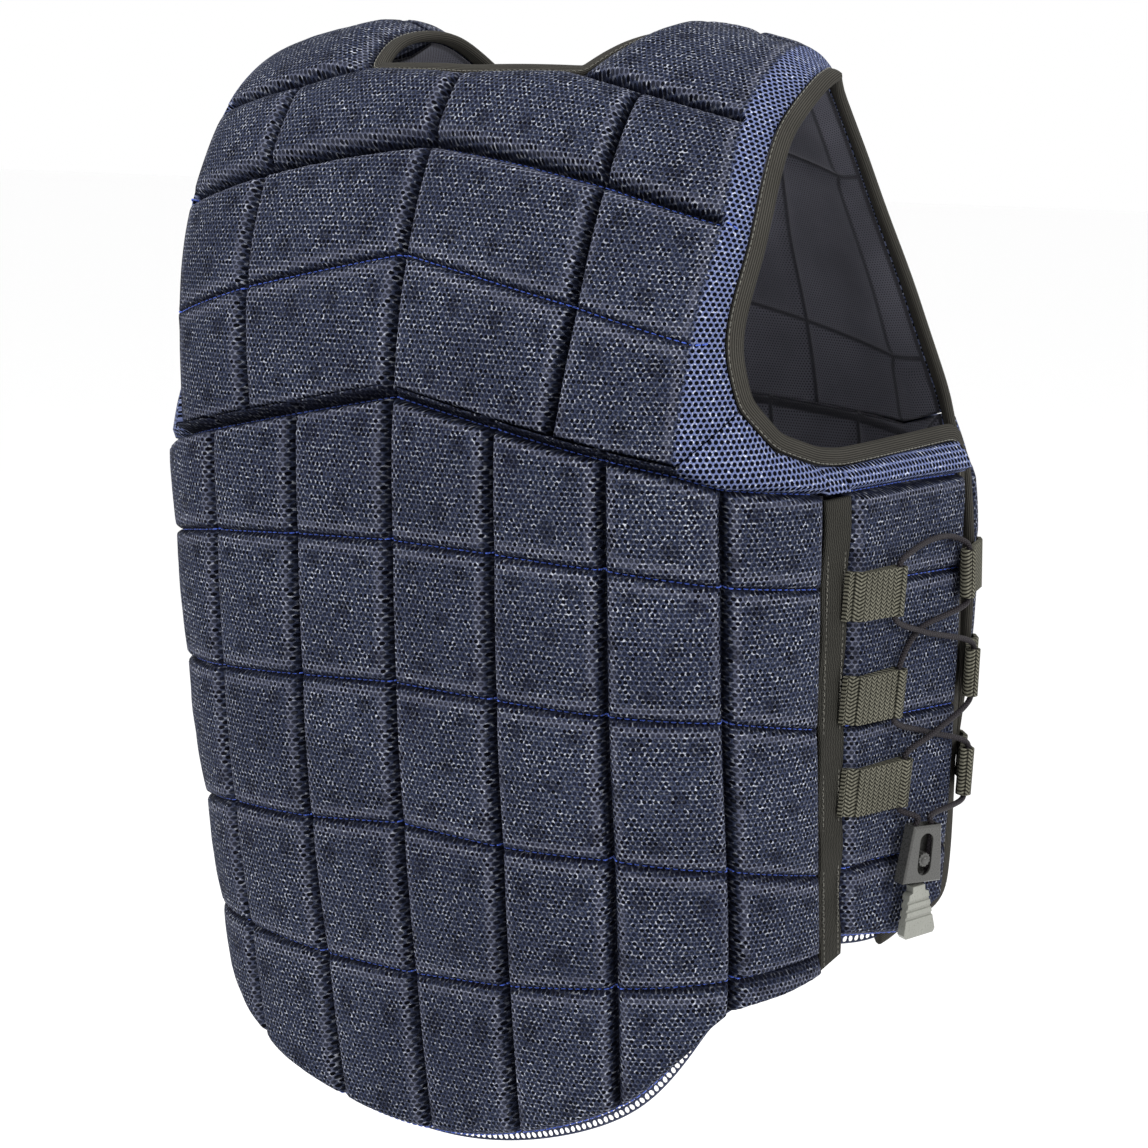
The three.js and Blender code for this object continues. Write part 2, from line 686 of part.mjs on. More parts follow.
const bodyColumns = ["spine", "first", "second", "corner", "third", "tape"];
const bodyNet = wholeNet(bodyCorners, bodyColumns);
bodyNet[bodyNet.length - 1].name = "hem";
const bodyPanel = {
  net: bodyNet,
  rowSeams: [
    thinEdge,
    blockTop,
    sewnGroove,
    sewnGroove,
    sewnGroove,
    sewnGroove,
    narrowEdge,
  ],
  columnSeams: bothSides([deepGroove, deepGroove, deepGroove, plainLine, deepGroove, tuckedEdge]),
  roundRows: ["hem"],
  middles: { row: () => false, column: (i) => ![2, 3, 6, 7].includes(i) },
};
const body = quiltedPanel(bodyPanel);
addPiece("back_body", body.geometry, meshFabric());

const flapNet = flapCorners.map((row) => {
  const [across, along] = scaled(row.tape);
  return [[across + tapeWidth, along], atDepth(row.middle), atDepth(row.front)];
});
const flap = quiltedPanel({
  net: flapNet,
  rowSeams: [thinEdge, blockTop, sewnGroove, sewnGroove, sewnGroove, narrowEdge],
  columnSeams: [tuckedEdge, plainLine, openEdge],
  middles: { row: (i) => i > 0, column: () => false },
});
addPair("side_flap", flap.geometry, meshFabric());

// Shoulders
const shoulder = quiltedPanel({
  net: halfNet(shoulderCorners, ["neck", "edge", "armhole"]),
  rowSeams: [{ inset: 5, depth: 6 }, plainLine, { inset: 5, depth: 9 }],
  columnSeams: [neckEdge, armholeBend, thinEdge],
  middles: { row: () => false, column: (i) => i === 0 },
});
addPair("shoulder", shoulder.geometry, meshFabric());

// Front panels
const frontYokePanel = {
  net: halfNet(frontYokeCorners, ["neck", "inner", "edge", "armhole"]),
  rowSeams: [
    { inset: 5, depth: 2 },
    plainLine,
    sewnGroove,
    plainLine,
    plainLine,
    sewnGroove,
    { inset: 3, depth: 4 },
  ],
  columnSeams: [neckEdge, deepGroove, armholeBend, thinEdge],
  middles: { row: (i) => i < 5, column: () => false },
};
const frontYoke = quiltedPanel(frontYokePanel);
addPair("front_yoke", frontYoke.geometry, meshFabric());

const frontBodyNet = frontBodyCorners.map((row) => [
  ...["zip", "inner", "middle", "corner", "outer"].map((key) => scaled(row[key])),
  atDepth(row.side),
]);
const frontBodyPanel = {
  net: frontBodyNet,
  rowSeams: [thinEdge, blockTop, sewnGroove, sewnGroove, sewnGroove, narrowEdge],
  columnSeams: [narrowEdge, deepGroove, deepGroove, plainLine, deepGroove, frontSideEdge],
  middles: { row: () => false, column: (i) => i < 2 || i === 4 },
};
const frontBody = quiltedPanel(frontBodyPanel);
addPair("front_body", frontBody.geometry, meshFabric());

// Linings, one sheet inside each panel
function liningOf(panel) {
  const plain = (seams) => seams.map(({ raised = 0 }) => ({ inset: 0, depth: 0, raised }));
  return quiltedPanel({
    ...panel,
    rowSeams: plain(panel.rowSeams),
    columnSeams: plain(panel.columnSeams),
    lift: -foamThickness - clearance,
    thickness: liningThickness,
    crown: 0,
    middles: panel.middles,
  }).geometry;
}
addPiece("back_yoke_lining", liningOf(yokePanel), liningCloth());
addPiece("back_body_lining", liningOf(bodyPanel), liningCloth());
addPair("front_yoke_lining", liningOf(frontYokePanel), liningCloth());
addPair("front_body_lining", liningOf(frontBodyPanel), liningCloth());

// Points of joined borders, without those that nearly meet.
const leastSpacing = 2.5;
function joinedBorders(...borders) {
  const kept = [];
  for (const place of borders.flat()) {
    const last = kept[kept.length - 1];
    const apart = last ? formPoint(last[0], last[1]).distanceTo(formPoint(place[0], place[1])) : Infinity;
    if (apart > leastSpacing) kept.push(place);
  }
  return kept;
}
const mirroredBorder = (border) => border.map(([across, ...rest]) => [-across, ...rest]).reverse();

// Bindings
const frontNeck = frontYoke.left.filter(([across]) => across > zipEdge);
const topOfZip = frontYoke.left[frontNeck.length];
const neckColumn = yokeCorners[0].neck[0] * chestHalfWidth;
const backNeck = yoke.top.filter(([across]) => across >= 0 && across <= neckColumn).reverse();
const rightNeck = joinedBorders([topOfZip], [...frontNeck].reverse(), shoulder.left, backNeck);
const neckBorder = joinedBorders(rightNeck, mirroredBorder(rightNeck));
const neckSection = bindingSection(neckBindingWidth, edgeThickness);
addPiece("neck_binding", borderBand(neckBorder, neckSection, 1), bindingCloth());

const fromColumn = (border, start) =>
  border.slice(border.findIndex(([across]) => across >= start * chestHalfWidth));
const frontEdge = joinedBorders(
  frontYoke.right,
  fromColumn(frontBody.top, frontBodyCorners[0].outer[0]),
  frontBody.right,
  [...frontBody.bottom].reverse(),
);
const sideEdge = joinedBorders(
  [...frontEdge].reverse(),
  shoulder.right,
  yoke.right,
  fromColumn(body.top, bodyCorners[0].third[0]),
  flap.top,
  flap.right,
  [...flap.bottom].reverse().slice(0, 2),
);
addPair(
  "edge_binding",
  borderBand(sideEdge, bindingSection(edgeBindingWidth, edgeThickness), -1),
  bindingCloth(),
);

// Open mesh strips under the hem
const hemSection = [
  [bandClearance, 0],
  [hemMeshWidth, 0],
  [hemMeshWidth, hemMeshThickness],
  [bandClearance, hemMeshThickness],
];
addPiece("hem_mesh", borderBand(body.bottom, hemSection, 1), meshFabric());
const [flapHemStart, flapHemEnd] = flap.bottom;
const flapHem = [flapHemStart, flapHemStart.map((value, k) => value + 0.95 * (flapHemEnd[k] - value))];
addPair("flap_hem_mesh", borderBand(flapHem, hemSection, 1), meshFabric());

// Tapes between the back body and the side flaps
const tapeTop = foamThickness - tapeSink;
const tapeMargin = 4 * clearance;
const tapeSection = [
  [tapeMargin, tapeTop - tapeThickness],
  [tapeWidth - tapeMargin, tapeTop - tapeThickness],
  [tapeWidth - tapeMargin, tapeTop],
  [tapeMargin, tapeTop],
];
addPair("side_tape", borderBand(body.right, tapeSection, -1), bindingCloth());

// A frame on the flank: x backward, y out of the body, z up along it.
function flankFrame(y, z, lift, side) {
  const reach = 10;
  const place = flankPoint(y, z, lift, side);
  const up = flankPoint(y, z + reach, lift, side).sub(flankPoint(y, z - reach, lift, side)).normalize();
  const backward = new THREE.Vector3(0, -1, 0);
  const out = new THREE.Vector3().crossVectors(up, backward).normalize();
  return new THREE.Matrix4().makeBasis(backward, out, up).setPosition(place);
}

// A webbing loop: two layers that part round an eye, carried on from the eye through the points
// of its underside to where it is sewn on. The first layer corner is the root.
function loopGeometry(frame, underside) {
  const outerRadius = eyeRadius + webbingThickness;
  const layers = 2 * webbingThickness;
  const toLocal = frame.clone().invert();
  const path = underside.map((point) => point.clone().applyMatrix4(toLocal));
  const rootBehind = path[0].x > 0;
  const shape = new THREE.Shape();
  path.forEach((point, i) => (i ? shape.lineTo(point.x, point.y) : shape.moveTo(point.x, point.y)));
  shape.absarc(0, 0, outerRadius, 1.5 * Math.PI, (rootBehind ? 1 : 8) * (Math.PI / 9), rootBehind);
  path.reverse().forEach((point) => shape.lineTo(point.x, point.y + layers));
  const hole = new THREE.Path();
  hole.absarc(0, 0, eyeRadius, 0, 2 * Math.PI, !rootBehind);
  shape.holes.push(hole);
  const geometry = new THREE.ExtrudeGeometry(shape, {
    depth: webbingHeight,
    bevelEnabled: false,
    curveSegments: 5,
  });
  return geometry.translate(0, 0, -webbingHeight / 2).applyMatrix4(frame);
}

const eyeRise = blockCrown + clearance + eyeRadius + webbingThickness;

// How deep a border lies at a height.
function borderDepth(border, height) {
  const points = border.map(([across, along]) => formPoint(across, along));
  const i = Math.max(points.findIndex((point) => point.z < height), 1);
  return points[i - 1].clone().lerp(points[i], (height - points[i - 1].z) / (points[i].z - points[i - 1].z)).y;
}
function tapeEye({ z, eye }, lift) {
  const height = -z * vestHeight;
  return flankFrame(borderDepth(flap.left, height) + eye, height, lift, 1);
}
function edgeEye({ z, eye }, lift) {
  const height = -z * vestHeight;
  return flankFrame(borderDepth(frontBody.right, height) - eye, height, lift, -1);
}
tapeLoops.forEach((loop, i) => {
  const height = -loop.z * vestHeight;
  const rise = blockCrown + clearance;
  const edge = borderDepth(flap.left, height);
  const underside = [
    flankPoint(edge - loop.root, height, loopSeat - tapeSink),
    flankPoint(edge - 1, height, loopSeat - tapeSink),
    flankPoint(edge + 3, height, rise),
  ];
  addPair(`tape_loop_${i + 1}`, loopGeometry(tapeEye(loop, eyeRise), underside), webbing());
});
edgeLoops.forEach((loop, i) => {
  const height = -loop.z * vestHeight;
  const bindingTop = frontEdgeRaise + edgeThickness - foamThickness + loopSeat;
  const edge = borderDepth(frontBody.right, height);
  const underside = [
    flankPoint(edge - 2.5, height, bindingTop, -1),
    flankPoint(edge - edgeBindingWidth - 2, height, bindingTop, -1),
  ];
  const flapBindingTop = edgeRaise + edgeThickness - foamThickness + loopSeat;
  const flapEdge = borderDepth(flap.right, height);
  const overBinding = flankPoint(flapEdge + edgeBindingWidth + 2, height, flapBindingTop);
  if (overBinding.x > underside[1].x) underside.push(overBinding);
  const overFlap = flapEdge - 5;
  if (overFlap - (edge - loop.eye) > 2 * eyeRadius)
    underside.push(flankPoint(overFlap, height, blockCrown + clearance));
  addPair(`edge_loop_${i + 1}`, loopGeometry(edgeEye(loop, edgeEyeRise), underside), webbing());
});

// Cord lock, in its own frame: x across it, y out of the body, z up. Two laces pass down inside it
// on either side of the roller.
const wasm = await Module();
wasm.setup();
function solidFrom(geometry) {
  const bare = geometry.clone();
  bare.deleteAttribute("normal");
  bare.deleteAttribute("uv");
  const merged = mergeVertices(bare, 1e-4);
  return new wasm.Manifold(
    new wasm.Mesh({
      numProp: 3,
      vertProperties: merged.attributes.position.array,
      triVerts: new Uint32Array(merged.index.array),
    }),
  );
}
function geometryFrom(solid) {
  const mesh = solid.getMesh();
  const geometry = new THREE.BufferGeometry();
  geometry.setAttribute("position", new THREE.BufferAttribute(mesh.vertProperties, 3));
  geometry.setIndex(new THREE.BufferAttribute(mesh.triVerts, 1));
  geometry.computeVertexNormals();
  return geometry;
}

// A plate with an outline in x and z, from depth y to y + thickness, with softened rims.
function plate(shape, y, thickness, soften, curveSegments = 6) {
  const geometry = new THREE.ExtrudeGeometry(shape, {
    depth: thickness - 2 * soften,
    bevelEnabled: soften > 0,
    bevelThickness: soften,
    bevelSize: soften,
    bevelOffset: -soften,
    bevelSegments: 1,
    curveSegments,
  });
  return geometry.rotateX(Math.PI / 2).translate(0, y + thickness - soften, 0);
}
function polygon(points) {
  return new THREE.Shape(points.map(([x, z]) => new THREE.Vector2(x, z)));
}
function trapezoid(topHalf, bottomHalf, topZ, bottomZ) {
  return polygon([
    [-bottomHalf, bottomZ],
    [bottomHalf, bottomZ],
    [topHalf, topZ],
    [-topHalf, topZ],
  ]);
}
function racetrack(width, length) {
  const shape = new THREE.Shape();
  const straight = (length - width) / 2;
  shape.absarc(0, straight, width / 2, 0, Math.PI, false);
  shape.absarc(0, -straight, width / 2, Math.PI, 2 * Math.PI, false);
  return shape;
}

const lockRim = 0.9;
const halfThickness = lockThickness / 2;
const cavityDepth = lockThickness - 2 * lockWall;
const cavityReach = lockHeight / 2 + 1;
const flare = (lockBottomWidth - lockTopWidth) / 2 / lockHeight;
const cavityTop = lockTopWidth / 2 - lockWall - flare;
const cavityBottom = lockBottomWidth / 2 - lockWall + flare;
const housing = solidFrom(
  plate(
    trapezoid(lockTopWidth / 2, lockBottomWidth / 2, lockHeight / 2, -lockHeight / 2),
    -halfThickness,
    lockThickness,
    lockRim,
  ),
)
  .subtract(
    solidFrom(
      plate(trapezoid(cavityTop, cavityBottom, cavityReach, -cavityReach), -cavityDepth / 2, cavityDepth, 0),
    ),
  )
  .subtract(solidFrom(plate(racetrack(slotWidth, slotLength), 0, lockThickness, 0)));
const lockFrame = flankFrame(lockPlace.y * backDepth, -lockPlace.z * vestHeight, lockRise, 1).multiply(
  new THREE.Matrix4().makeRotationZ(-lockTurn),
);
addPair("lock_housing", geometryFrom(housing).applyMatrix4(lockFrame), lockPlastic());

// Toothed roller with a domed pin
const teeth = Array.from({ length: 2 * rollerTeeth }, (_, i) => {
  const radius = i % 2 ? rollerRadius : rollerRadius - toothDepth;
  const angle = (i * Math.PI) / rollerTeeth;
  return [radius * Math.cos(angle), radius * Math.sin(angle)];
});
const rollerBack = -cavityDepth / 2 + rollerClearance;
const rollerFront = halfThickness - rollerClearance;
const dome = new THREE.LatheGeometry(
  [
    [0, rollerFront - 1],
    [rollerPinRadius, rollerFront - 1],
    [rollerPinRadius, rollerFront + 0.5],
    [rollerPinRadius * 0.6, rollerFront + 1.3],
    [0, rollerFront + 1.5],
  ].map(([x, y]) => new THREE.Vector2(x, y)),
  10,
);
const roller = solidFrom(plate(polygon(teeth), rollerBack, rollerFront - rollerBack, 0)).add(solidFrom(dome));
const rollerFrame = lockFrame.clone().multiply(new THREE.Matrix4().makeTranslation(0, 0, -rollerDrop));
addPair("lock_roller", geometryFrom(roller).applyMatrix4(rollerFrame), lockPlastic());

// Clip that holds the lace's ends, with a neck above its body and grooves across its faces
const clipHalfAt = (z) => (clipTopWidth - ((clipBottomWidth - clipTopWidth) * z) / clipHeight) / 2;
const clipHalf = [
  [clipNeckWidth / 2, clipNeckHeight],
  [clipNeckWidth / 2, 0],
  [clipTopWidth / 2, -0.8],
  [clipHalfAt(2 - clipHeight), 2 - clipHeight],
  [clipBottomWidth / 2 - 1.6, -clipHeight],
];
const clipShape = polygon([...clipHalf.map(([x, z]) => [-x, z]), ...clipHalf.reverse()]);
let clip = solidFrom(plate(clipShape, -clipThickness / 2, clipThickness, 0));
clipGrooves.forEach((z) => {
  const groove = new THREE.BoxGeometry(2 * clipBottomWidth, clipGrooveDepth, clipGrooveWidth);
  for (const face of [-1, 1])
    clip = clip.subtract(solidFrom(groove.clone().translate(0, (face * clipThickness) / 2, -z * clipHeight)));
});
const clipFrame = lockFrame
  .clone()
  .multiply(new THREE.Matrix4().makeTranslation(0, 0, -lockHeight / 2 - clipNeckHeight - clipGap))
  .multiply(new THREE.Matrix4().makeRotationY(clipLean));
addPair("lace_end_clip", geometryFrom(clip).applyMatrix4(clipFrame), clipPlastic());

// Lace: up through one row of eyes crosswise, over the top, and down through the other
function throughEye(frame, upwards) {
  const ends = [-1.15, -0.6, 0.6, 1.15].map((share) =>
    new THREE.Vector3(0, 0, (share * webbingHeight) / 2).applyMatrix4(frame),
  );
  return upwards ? ends : ends.reverse();
}
const crossing = ({ y, z, lift }) => flankPoint(y * backDepth, -z * vestHeight, lift, 1);
function lockLane(side, downwards) {
  const lane = [
    [side * 3.9, lockHeight / 2 + 3.2],
    [side * 4.9, lockHeight / 2],
    [side * laceLane, lockHeight / 2 - 3],
    [side * laceLane, 0],
    [side * laceLane, 3 - lockHeight / 2],
    [side * 2.1, -lockHeight / 2 - clipGap + laceRadius],
  ].map(([x, z]) => new THREE.Vector3(x, 0, z).applyMatrix4(lockFrame));
  return downwards ? lane : lane.reverse();
}
const laceUp = [
  ...lockLane(1, false),
  ...throughEye(tapeEye(tapeLoops[2], eyeRise), true),
  crossing(laceCrossings[1].over),
  ...throughEye(edgeEye(edgeLoops[1], edgeEyeRise), true),
  crossing(laceCrossings[0].over),
  ...throughEye(tapeEye(tapeLoops[0], eyeRise), true),
];
const laceDown = [
  ...throughEye(edgeEye(edgeLoops[0], edgeEyeRise), false),
  crossing(laceCrossings[0].under),
  ...throughEye(tapeEye(tapeLoops[1], eyeRise), false),
  crossing(laceCrossings[1].under),
  ...throughEye(edgeEye(edgeLoops[2], edgeEyeRise), false),
  ...lockLane(-1, true),
];
const laceArc = laceTop.map((place) => crossing(place));
const lacePath = new THREE.CatmullRomCurve3([...laceUp, ...laceArc, ...laceDown], false, "centripetal");
const laceSection = polygon(
  Array.from({ length: laceSides }, (_, i) => {
    const angle = (2 * Math.PI * i) / laceSides;
    return [laceRadius * Math.cos(angle), laceRadius * Math.sin(angle)];
  }),
);
const lace = new THREE.ExtrudeGeometry(laceSection, {
  steps: laceSteps,
  extrudePath: lacePath,
  bevelEnabled: false,
});
addPair("lace", lace, laceCord());

// Zip on the midline in front, with its pull
const zipBorder = joinedBorders(frontYoke.left.filter((place) => place[0] <= zipEdge), frontBody.left);
const zipCorners = [];
for (const [across, along] of zipBorder) {
  const halfWidth = across - 2 * clearance;
  for (const [x, lift] of [
    [-halfWidth, 0],
    [halfWidth, 0],
    [halfWidth, zipThickness],
    [-halfWidth, zipThickness],
  ]) {
    const point = formPoint(0, along).addScaledVector(formNormal(0, along), lift + zipSink - foamThickness);
    point.x = x;
    zipCorners.push(point);
  }
}
const zipSection = [[-1, 0], [1, 0], [1, 1], [-1, 1]];
addPiece("front_zip", sweptGeometry(zipCorners, zipBorder.length, zipSection, true), zipTape());
const pull = plate(racetrack(zipPullWidth, zipPullLength), 0, zipPullThickness, 0);
const pullAlong = zipBorder[0][1] - 0.03;
const pullPlace = formPoint(0, pullAlong).addScaledVector(
  formNormal(0, pullAlong),
  zipSink + zipThickness - foamThickness + 2 * clearance,
);
const downTheZip = formPoint(0, pullAlong - 0.02).sub(formPoint(0, pullAlong + 0.02)).normalize();
const pullFrame = new THREE.Matrix4().makeBasis(
  new THREE.Vector3(1, 0, 0),
  formNormal(0, pullAlong),
  downTheZip.negate(),
);
addPiece("zip_pull", pull.applyMatrix4(pullFrame.setPosition(pullPlace)), lockPlastic());

export default group;
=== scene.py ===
import math

import bmesh
import bpy
import numpy as np
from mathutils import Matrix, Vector, noise


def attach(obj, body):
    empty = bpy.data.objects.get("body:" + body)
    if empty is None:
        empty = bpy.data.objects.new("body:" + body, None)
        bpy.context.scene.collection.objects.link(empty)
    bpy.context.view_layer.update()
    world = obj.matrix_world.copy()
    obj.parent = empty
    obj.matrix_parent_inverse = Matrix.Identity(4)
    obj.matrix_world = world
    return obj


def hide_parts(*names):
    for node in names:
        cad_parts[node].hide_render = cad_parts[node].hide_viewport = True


# Rider's body protector. Lengths in the tables and helpers are millimetres, objects are metres.
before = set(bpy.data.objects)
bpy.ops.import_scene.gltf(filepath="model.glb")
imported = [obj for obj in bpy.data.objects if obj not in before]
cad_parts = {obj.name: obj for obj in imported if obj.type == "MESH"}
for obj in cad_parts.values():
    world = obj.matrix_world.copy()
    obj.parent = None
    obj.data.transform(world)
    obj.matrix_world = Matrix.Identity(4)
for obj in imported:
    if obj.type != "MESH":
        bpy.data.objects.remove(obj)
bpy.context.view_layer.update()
mm = 0.001

form = {
    "height": 590,
    "halfWidth": 204,
    "backDepth": 160,
    "frontDepth": 125,
    "shoulderDrop": 22,
    "foam": 22,
    "edge": 5,
    "lining": 1.2,
    "gap": 0.3,
}

# down, out, half, side, square, drop, flare
sectionRows = np.array([
    (1.0, -0.79, 0.735, -0.375, 3.2, 0, 0.28),
    (0.881, -0.863, 0.814, -0.125, 3.2, 0, 0.28),
    (0.746, -0.931, 0.882, 0, 3.2, 0, 0.24),
    (0.61, -0.981, 0.931, 0, 3.2, 0, 0.15),
    (0.475, -1, 0.971, 0, 3.2, 0, 0.06),
    (0.339, -1, 1, 0, 3.2, 0, 0),
    (0.22, -0.9375, 1.01, -0.0625, 3.2, 0.27, 0),
    (0.119, -0.8, 0.995, -0.125, 3, 0.64, 0),
    (0.051, -0.625, 0.961, -0.19, 2.8, 0.91, 0),
    (0.01, -0.3875, 0.882, -0.19, 2.6, 1, 0),
    (0, -0.125, 0.833, -0.1125, 2.2, 1, 0),
    (0.017, 0.12, 0.833, -0.04, 2.2, 1, 0),
    (0.068, 0.384, 0.843, 0.08, 2.4, 1, 0),
    (0.144, 0.624, 0.873, 0.176, 2.6, 0.73, 0),
    (0.237, 0.816, 0.931, 0.256, 2.8, 0.36, 0),
    (0.339, 0.936, 0.985, 0.304, 3, 0, 0),
    (0.475, 0.992, 1.005, 0.34, 3.2, 0, 0),
    (0.61, 0.96, 0.99, 0.345, 3.2, 0, 0),
    (0.746, 0.88, 0.965, 0.29, 3, 0, 0),
])
ridgeRow = 10
arcSteps = 60
acrossStep = 2.0
acrossReach = 342
alongStep = 0.002
alongReach = 1.02


def reach(share):
    return np.where(share < 0, share * form["backDepth"], share * form["frontDepth"])


# Distances from the start, over lengths and along points.
def runOver(lengths):
    return np.concatenate([[0], np.cumsum(lengths)])


def runAlong(points):
    return runOver(np.linalg.norm(np.diff(points, axis=0), axis=1))


sectionSizes = np.column_stack([
    -sectionRows[:, 0] * form["height"],
    reach(sectionRows[:, 1]),
    sectionRows[:, 2] * form["halfWidth"],
    reach(sectionRows[:, 3]),
    sectionRows[:, 4],
    sectionRows[:, 5] * form["shoulderDrop"],
    sectionRows[:, 6],
])
steps = np.hypot(np.diff(sectionSizes[:, 0]), np.diff(sectionSizes[:, 1]))
tapeRun = runOver(steps)
backRun = tapeRun[ridgeRow]
frontRun = tapeRun[-1] - backRun
sectionPlaces = np.where(tapeRun < backRun, tapeRun / backRun - 1, (tapeRun - backRun) / frontRun)


# A cubic from base that climbs by rise, with its slopes at start and end.
def cubic(base, rise, start, end, t):
    return base + t * (start + t * (3 * rise - 2 * start - end + t * (start + end - 2 * rise)))


def smoothRows(query):
    places, rows = sectionPlaces, sectionSizes
    last = len(places) - 1
    i = np.clip(np.searchsorted(places, query), 1, last)

    def slope(k):
        a, b = np.maximum(k - 1, 0), np.minimum(k + 1, last)
        return (rows[b] - rows[a]) / (places[b] - places[a])[:, None]

    length = (places[i] - places[i - 1])[:, None]
    t = (query - places[i - 1])[:, None] / length
    rise = rows[i] - rows[i - 1]
    start, end = slope(i - 1) * length, slope(i) * length
    return cubic(rows[i - 1], rise, start, end, t)


def sectionArcs(along):
    sizes = smoothRows(-np.atleast_1d(np.asarray(along, float)))
    z, out, half, side, square, drop, flare = (sizes[:, k, None] for k in range(7))
    angle = np.linspace(0, math.pi / 2, arcSteps + 1)[None, :]
    across = np.sin(angle) ** (2 / square)
    back = np.abs(np.cos(angle)) ** (2 / square)
    points = np.stack([half * across, side + (out - side) * back, z - drop * across**1.6], axis=2)
    lengths = np.cumsum(np.linalg.norm(np.diff(points, axis=1), axis=2), axis=1)
    lengths = np.concatenate([np.zeros((len(sizes), 1)), lengths], axis=1)
    forward = np.where(side[:, 0] >= out[:, 0], 1.0, -1.0)
    return points, lengths, forward, flare[:, 0]


def makeFormTable():
    alongs = np.arange(-alongReach, alongReach + alongStep / 2, alongStep)
    distances = np.arange(0, acrossReach, acrossStep)
    points, lengths, forward, flare = sectionArcs(alongs)
    table = np.zeros((len(alongs), len(distances), 3))
    for k in range(len(alongs)):
        total = lengths[k, -1]
        for axis in range(3):
            table[k, :, axis] = np.interp(distances, lengths[k], points[k, :, axis])
        beyond = np.maximum(distances - total, 0)
        table[k, :, 1] += forward[k] * beyond
        table[k, :, 0] += flare[k] * beyond
    return table


formTable = makeFormTable()


def formPoints(across, along):
    across, along = np.broadcast_arrays(np.asarray(across, float), np.asarray(along, float))
    a, r = np.abs(across) / acrossStep, (along + alongReach) / alongStep
    j = np.clip(a.astype(int), 0, formTable.shape[1] - 2)
    i = np.clip(r.astype(int), 0, formTable.shape[0] - 2)
    s, t = (a - j)[..., None], (r - i)[..., None]
    upper = formTable[i, j] * (1 - s) + formTable[i, j + 1] * s
    lower = formTable[i + 1, j] * (1 - s) + formTable[i + 1, j + 1] * s
    points = upper * (1 - t) + lower * t
    points[..., 0] *= np.where(across < 0, -1, 1)
    return points


def unit(vectors):
    return vectors / np.maximum(np.linalg.norm(vectors, axis=-1, keepdims=True), 1e-9)


def formNormals(across, along):
    reachAlong = 2 * alongStep
    sideways = formPoints(across + acrossStep, along) - formPoints(across - acrossStep, along)
    upwards = formPoints(across, along - reachAlong) - formPoints(across, along + reachAlong)
    return unit(np.cross(sideways, upwards))


def acrossAtDepth(depth, along):
    points, lengths, _, _ = sectionArcs(along)
    points, lengths = points[0], lengths[0]
    forward = 1 if along > 0 else -1
    beyond = (depth - points[-1, 1]) * forward
    if beyond >= 0:
        return lengths[-1] + beyond
    i = arcSteps
    while i > 1 and (points[i - 1, 1] - depth) * forward > 0:
        i -= 1
    part = (depth - points[i - 1, 1]) / (points[i, 1] - points[i - 1, 1])
    return lengths[i - 1] + part * (lengths[i] - lengths[i - 1])


def alongAtHeight(z, side):
    upper, lower = 0.1, 1.0
    for _ in range(30):
        middle = (upper + lower) / 2
        if smoothRows(np.array([-side * middle]))[0, 0] > z:
            upper = middle
        else:
            lower = middle
    return side * lower


def flankPoint(y, z, lift, side=1):
    along = alongAtHeight(z, side)
    point = formPoints(acrossAtDepth(y, along), along)
    point[0] += lift
    point[2] = z
    return point


def flankFrame(y, z, lift, side):
    place = flankPoint(y, z, lift, side)
    up = unit(flankPoint(y, z + 10, lift, side) - flankPoint(y, z - 10, lift, side))
    backward = np.array([0.0, -1.0, 0.0])
    out = unit(np.cross(up, backward))
    return place, backward, out, up


def catmullRom(a, b, c, d, t):
    return cubic(b, c - b, (c - a) / 2, (d - b) / 2, t)


def netGrid(net, rowPlaces, columnPlaces, roundRows=()):
    lastRow, lastColumn = net.shape[0] - 1, net.shape[1] - 1
    c = np.clip(columnPlaces.astype(int), 0, lastColumn - 1)
    t = (columnPlaces - c)[:, None]
    lines = net[:, c] + (net[:, c + 1] - net[:, c]) * t
    for r in roundRows:
        before, after = np.maximum(c - 1, 0), np.minimum(c + 2, lastColumn)
        lines[r] = catmullRom(net[r, before], net[r, c], net[r, c + 1], net[r, after], t)
    r = np.clip(rowPlaces.astype(int), 0, lastRow - 1)
    before, after = np.maximum(r - 1, 0), np.minimum(r + 2, lastRow)
    return catmullRom(lines[before], lines[r], lines[r + 1], lines[after], (rowPlaces - r)[:, None, None])


print("form ready")

# inset, depth, raised: half a groove's width, how deep it is, how far the inside stands off there
seamKinds = {
    "plain": (0, 0, 0),
    "deep": (3.4, 11, 0),
    "sewn": (1.9, 3.8, 0),
    "step": (4.5, 13, 0),
    "narrow": (8, 17, 0),
    "thin": (0, 10, 7),
    "neck": (14, 9, 8),
    "open": (7, 10, 7),
    "frontSide": (5, 5, 12),
    "tucked": (6, 6.9, 0),
    "bend": (0, 2.5, 0),
    "bridge": (0, 1, 0),
    "top": (2.5, 9, 0),
    "joint": (3, 4, 0),
    "ridgeBack": (5, 6, 0),
    "ridgeFront": (5, 2, 0),
    "under": (5, 9, 0),
}

